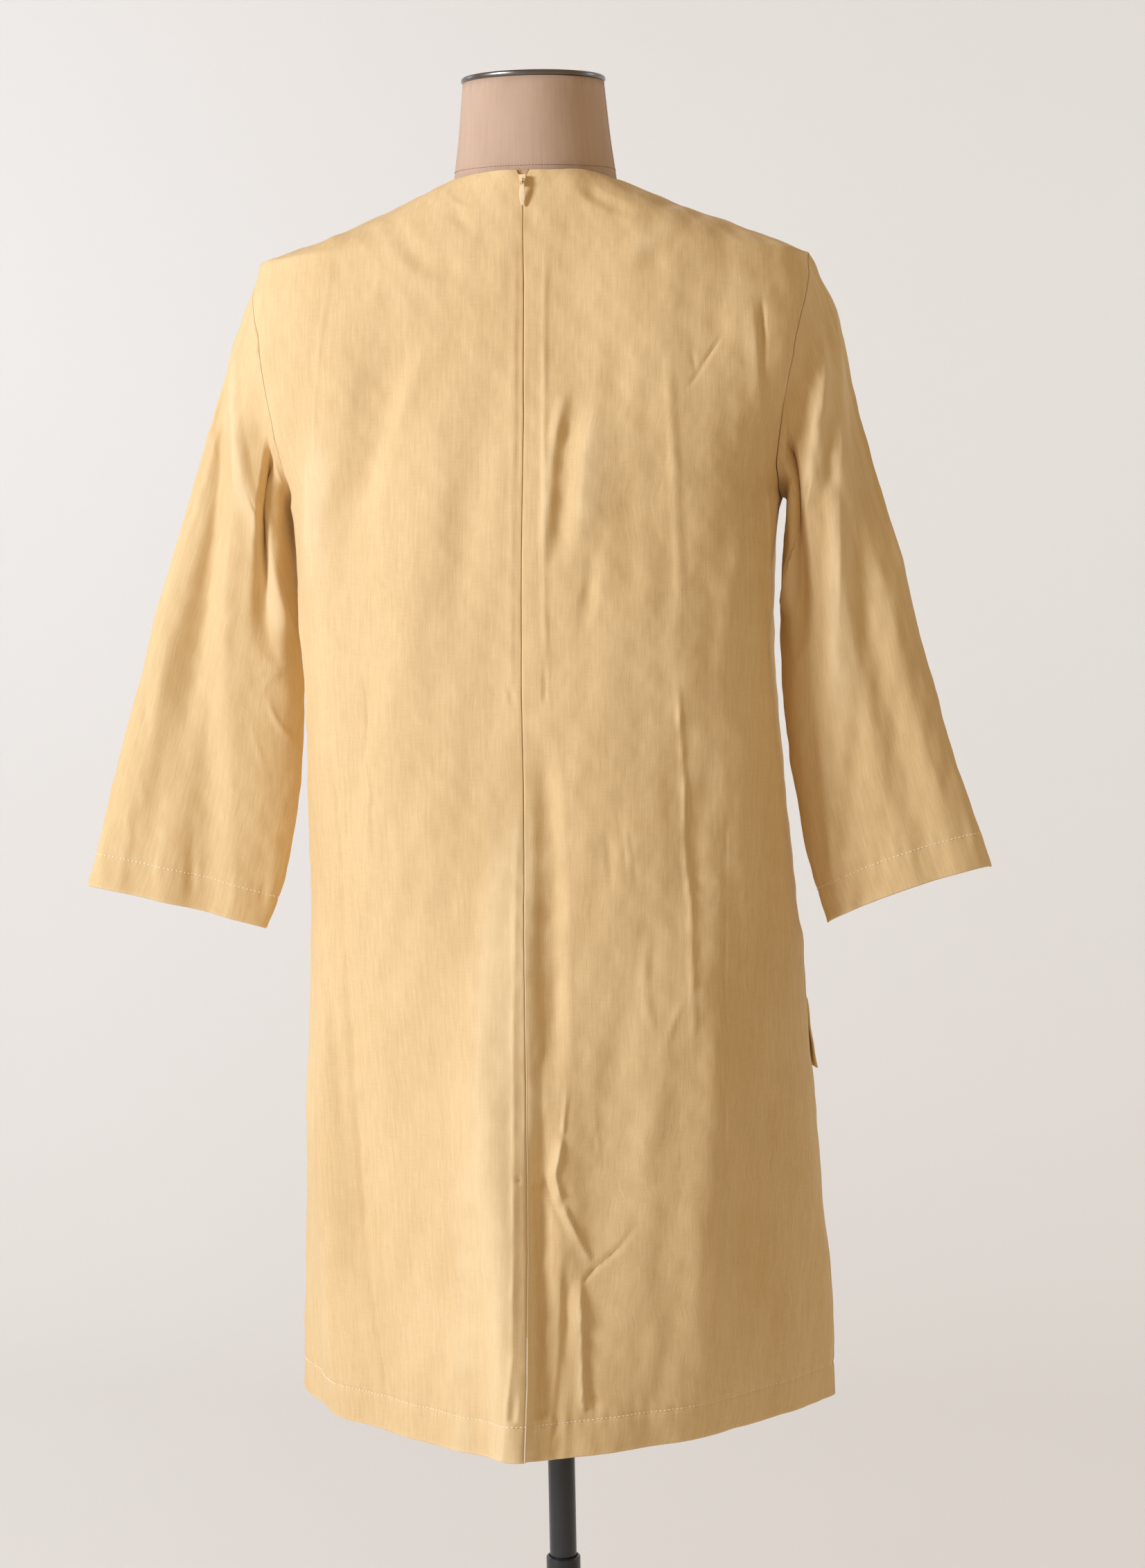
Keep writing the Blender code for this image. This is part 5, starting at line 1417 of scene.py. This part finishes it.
# %% Enamel of the slider and its pull
def enamel_finish():
    """Baked enamel in the colour of the cloth, a little worn."""
    made, tree, shader = begin("zip_enamel_paint", 0.3, Coat_Weight=0.4)
    space = add(tree, "ShaderNodeTexCoord", {}, {}, "Object")
    worn = noise(tree, space, 420.0, 3.0).between(0.60, 0.74)
    flow = noise(tree, space, 160.0, 2.0)
    colour = blend_colours(tree, worn, blend_colours(tree, flow, (0.84, 0.64, 0.38),
                                                     (0.95, 0.78, 0.52)), (0.66, 0.52, 0.36))
    finish(tree, shader, colour, worn * 0.2 + 0.26, flow + worn * 0.3, 0.15, 0.0002)
    return made


enamel = enamel_finish()
refined("zip_slider", "enamelled_slider", "figure", enamel, 0.0003, 2)
refined("zip_pull", "teardrop_pull", "zip_pull", enamel, 0.00035, 3)

# %% [markdown]
# ## The dress form
# The form is covered in a pinkish taupe linen twill, whose fine diagonal lines show on the neck.
# A side seam runs down each side, and a line of brown stitches holds the cover below the neck.

# %% Linen of the form
FORM_SEAM_Y, NECK_RADIUS, NECK_ROW_Z = 0.0022, 0.053, 1.3842
TWILL_PITCH, TWILL_SLOPE = 0.00105, 0.62


def linen_finish():
    made, tree, shader = begin("linen_twill", 0.88, Sheen_Weight=0.15, Sheen_Roughness=0.5)
    space = add(tree, "ShaderNodeTexCoord", {}, {}, "Object")
    split = tree.nodes.new("ShaderNodeSeparateXYZ")
    tree.links.new(space.socket, split.inputs[0])
    x, y, z = (Wire(tree, split.outputs[k]) for k in range(3))
    around = x.maths("ARCTAN2", x, y) * NECK_RADIUS
    flat = add(tree, "ShaderNodeCombineXYZ", {}, {"X": around, "Y": z})
    streaks = noise(tree, flat, 1.0, 2.0, (520, 26, 1))
    threads = noise(tree, flat, 1.0, 2.0, (1500, 900, 1))
    patches = noise(tree, space, 34.0, 3.0, (1, 1, 0.5))
    line = (z - around * TWILL_SLOPE) * (2 * math.pi / TWILL_PITCH) + threads * 2.2
    twill = line.sine() * 0.5 + 0.5
    seam = 1 - (y - FORM_SEAM_Y).size().between(0.0003, 0.0011)
    beside = (1 - (y - FORM_SEAM_Y).size().between(0.0012, 0.0034)) - seam
    ground = blend_colours(tree, streaks * 0.6 + patches * 0.55 - 0.07, (0.40, 0.262, 0.190),
                           (0.66, 0.475, 0.365))
    tinted = blend_colours(tree, twill * 0.55, ground, (0.62, 0.45, 0.27))
    # Painted highlight: the bands on either side of the seam are mixed towards a paler colour, as
    # if their raised edges were lit.
    lit = blend_colours(tree, beside * 0.25, tinted, (0.74, 0.56, 0.44))
    colour = blend_colours(tree, seam * 0.85, lit, (0.10, 0.055, 0.035))
    finish(tree, shader, colour, streaks * 0.1 + 0.82,
           twill * 0.5 + streaks * 0.4 + threads * 0.4 + beside * 2.0 - seam * 4.0, 0.5, 0.00035)
    return made


linen = linen_finish()
body_form = refined("dress_form", "linen_dress_form", "figure", linen,
                    smooth=2, sharp=50)


def ring_on(thing, z, count=160):
    """Points and normals round a piece at one height, met from outside."""
    tree = BVHTree.FromPolygons([v.co.copy() for v in thing.data.vertices],
                                [tuple(p.vertices) for p in thing.data.polygons])
    points, normals = [], []
    for k in range(count):
        a = 2 * math.pi * k / count
        way = Vector((math.sin(a), math.cos(a), 0))
        place, facing, _, _ = tree.ray_cast(Vector((0, 0, z)) + way * 0.3, -way)
        points.append(place + facing * 0.00008)
        normals.append(facing)
    return np.array(points), np.array(normals), True


stitch("form_neck_stitches", [ring_on(body_form, NECK_ROW_Z)], "figure", "form_linen",
       Thread=brown_thread, Pitch=0.0021, Along=0.0014, Across=0.0005, High=0.00045,
       Uneven=0.2, Seed=5)


# %% [markdown]
# ## Cap and stand
# The neck ends in a dark polished steel cap, turned on a lathe, so its fine marks run round it.
# The stand is steel tube under satin black lacquer, with a few rubbed and scratched places.

# %% Steel and lacquer
def steel_finish():
    made, tree, shader = begin("polished_steel", 0.28, metallic=1.0)
    space = add(tree, "ShaderNodeTexCoord", {}, {}, "Object")
    marks = noise(tree, space, 1.0, 2.0, (14, 14, 2600))
    smears = noise(tree, space, 60.0, 3.0)
    finish(tree, shader, blend_colours(tree, marks * 0.6 + smears * 0.4, (0.10, 0.10, 0.10),
                                       (0.30, 0.29, 0.28)),
           marks * 0.14 + smears * 0.16 + 0.14, marks, 0.12, 0.0001)
    return made


def lacquer_finish():
    made, tree, shader = begin("satin_black_lacquer", 0.36, Coat_Weight=0.25)
    space = add(tree, "ShaderNodeTexCoord", {}, {}, "Object")
    scratches = noise(tree, space, 1.0, 1.0, (1500, 1500, 16)).between(0.70, 0.80)
    haze = noise(tree, space, 26.0, 4.0)
    colour = blend_colours(tree, scratches * 0.5, blend_colours(
        tree, haze, (0.010, 0.011, 0.013), (0.020, 0.022, 0.027)), (0.10, 0.10, 0.10))
    finish(tree, shader, colour, haze * 0.16 + scratches * 0.1 + 0.26, haze * 0.4 - scratches,
           0.1, 0.0002)
    return made


steel, lacquer = steel_finish(), lacquer_finish()
refined("neck_cap", "polished_neck_cap", "figure", steel, 0.0004, 2, sharp=30)
refined("form_flange", "flange_plate", "figure", lacquer, 0.0005, 2, sharp=30)
refined("post", "inner_post", "figure", lacquer, 0.0003, 2, sharp=30)
refined("pole", "outer_pole", "stand", lacquer, 0.0004, 2, sharp=30)
refined("base", "round_base", "stand", lacquer, 0.0010, 3, sharp=30)

# %% [markdown]
# ## Light and floor
# A studio cove in pale grey.  A large soft lamp stands on the photo's left, above the dress, and
# the pale room fills in the rest.

# %% Lights
scene.view_settings.view_transform = "Standard"
world = bpy.data.worlds.new("studio")
scene.world = world
world.use_nodes = True
world.node_tree.nodes["Background"].inputs["Color"].default_value = (1.0, 0.74, 0.45, 1)
world.node_tree.nodes["Background"].inputs["Strength"].default_value = 0.44


def soft_lamp(name, place, aim, size, power, colour):
    data = bpy.data.lights.new(name, "AREA")
    data.shape, data.size, data.energy, data.color = "DISK", size, power, colour
    lamp = bpy.data.objects.new(name, data)
    scene.collection.objects.link(lamp)
    lamp.location = place
    lamp.rotation_mode = "QUATERNION"
    lamp.rotation_quaternion = (Vector(aim) - Vector(place)).to_track_quat("-Z", "Y")
    lamp.visible_camera = False
    return lamp


soft_lamp("key", (2.15, 1.95, 2.0), (0, 0, 1.0), 0.9, 76, (0.93, 1.0, 1.18))
for side in (LEFT, RIGHT):
    soft_lamp("backdrop_lamp", (side * 1.9, -0.9, 1.7), (side * 0.5, -2.6, 1.1), 1.6, 15,
              (0.80, 0.95, 1.15))


# %% Floor and backdrop
def paper_finish():
    made, tree, shader = begin("cove_paper", 0.95)
    space = add(tree, "ShaderNodeTexCoord", {}, {}, "Object")
    soft = noise(tree, space, 1.3, 2.0)
    finish(tree, shader, blend_colours(tree, soft, (0.80, 0.785, 0.75), (0.83, 0.815, 0.78)))
    return made


DROP_BACK, DROP_SIDE, DROP_HIGH, COVE = 2.6, 4.0, 4.0, 0.9
profile = [(4.0, 0.0), (-DROP_BACK + COVE, 0.0)]
profile += [(-DROP_BACK + COVE - COVE * math.sin(a), COVE - COVE * math.cos(a))
            for a in np.linspace(0, math.pi / 2, 16)[1:]]
profile.append((-DROP_BACK, DROP_HIGH))
points = [(x, y, z) for y, z in profile for x in (-DROP_SIDE, DROP_SIDE)]
floor_mesh = bpy.data.meshes.new("cove")
floor_mesh.from_pydata(points, [], [(2 * i, 2 * i + 1, 2 * i + 3, 2 * i + 2)
                                    for i in range(len(profile) - 1)])
floor_mesh.shade_smooth()
cove = bpy.data.objects.new("cove", floor_mesh)
scene.collection.objects.link(cove)
cove.data.materials.append(paper_finish())
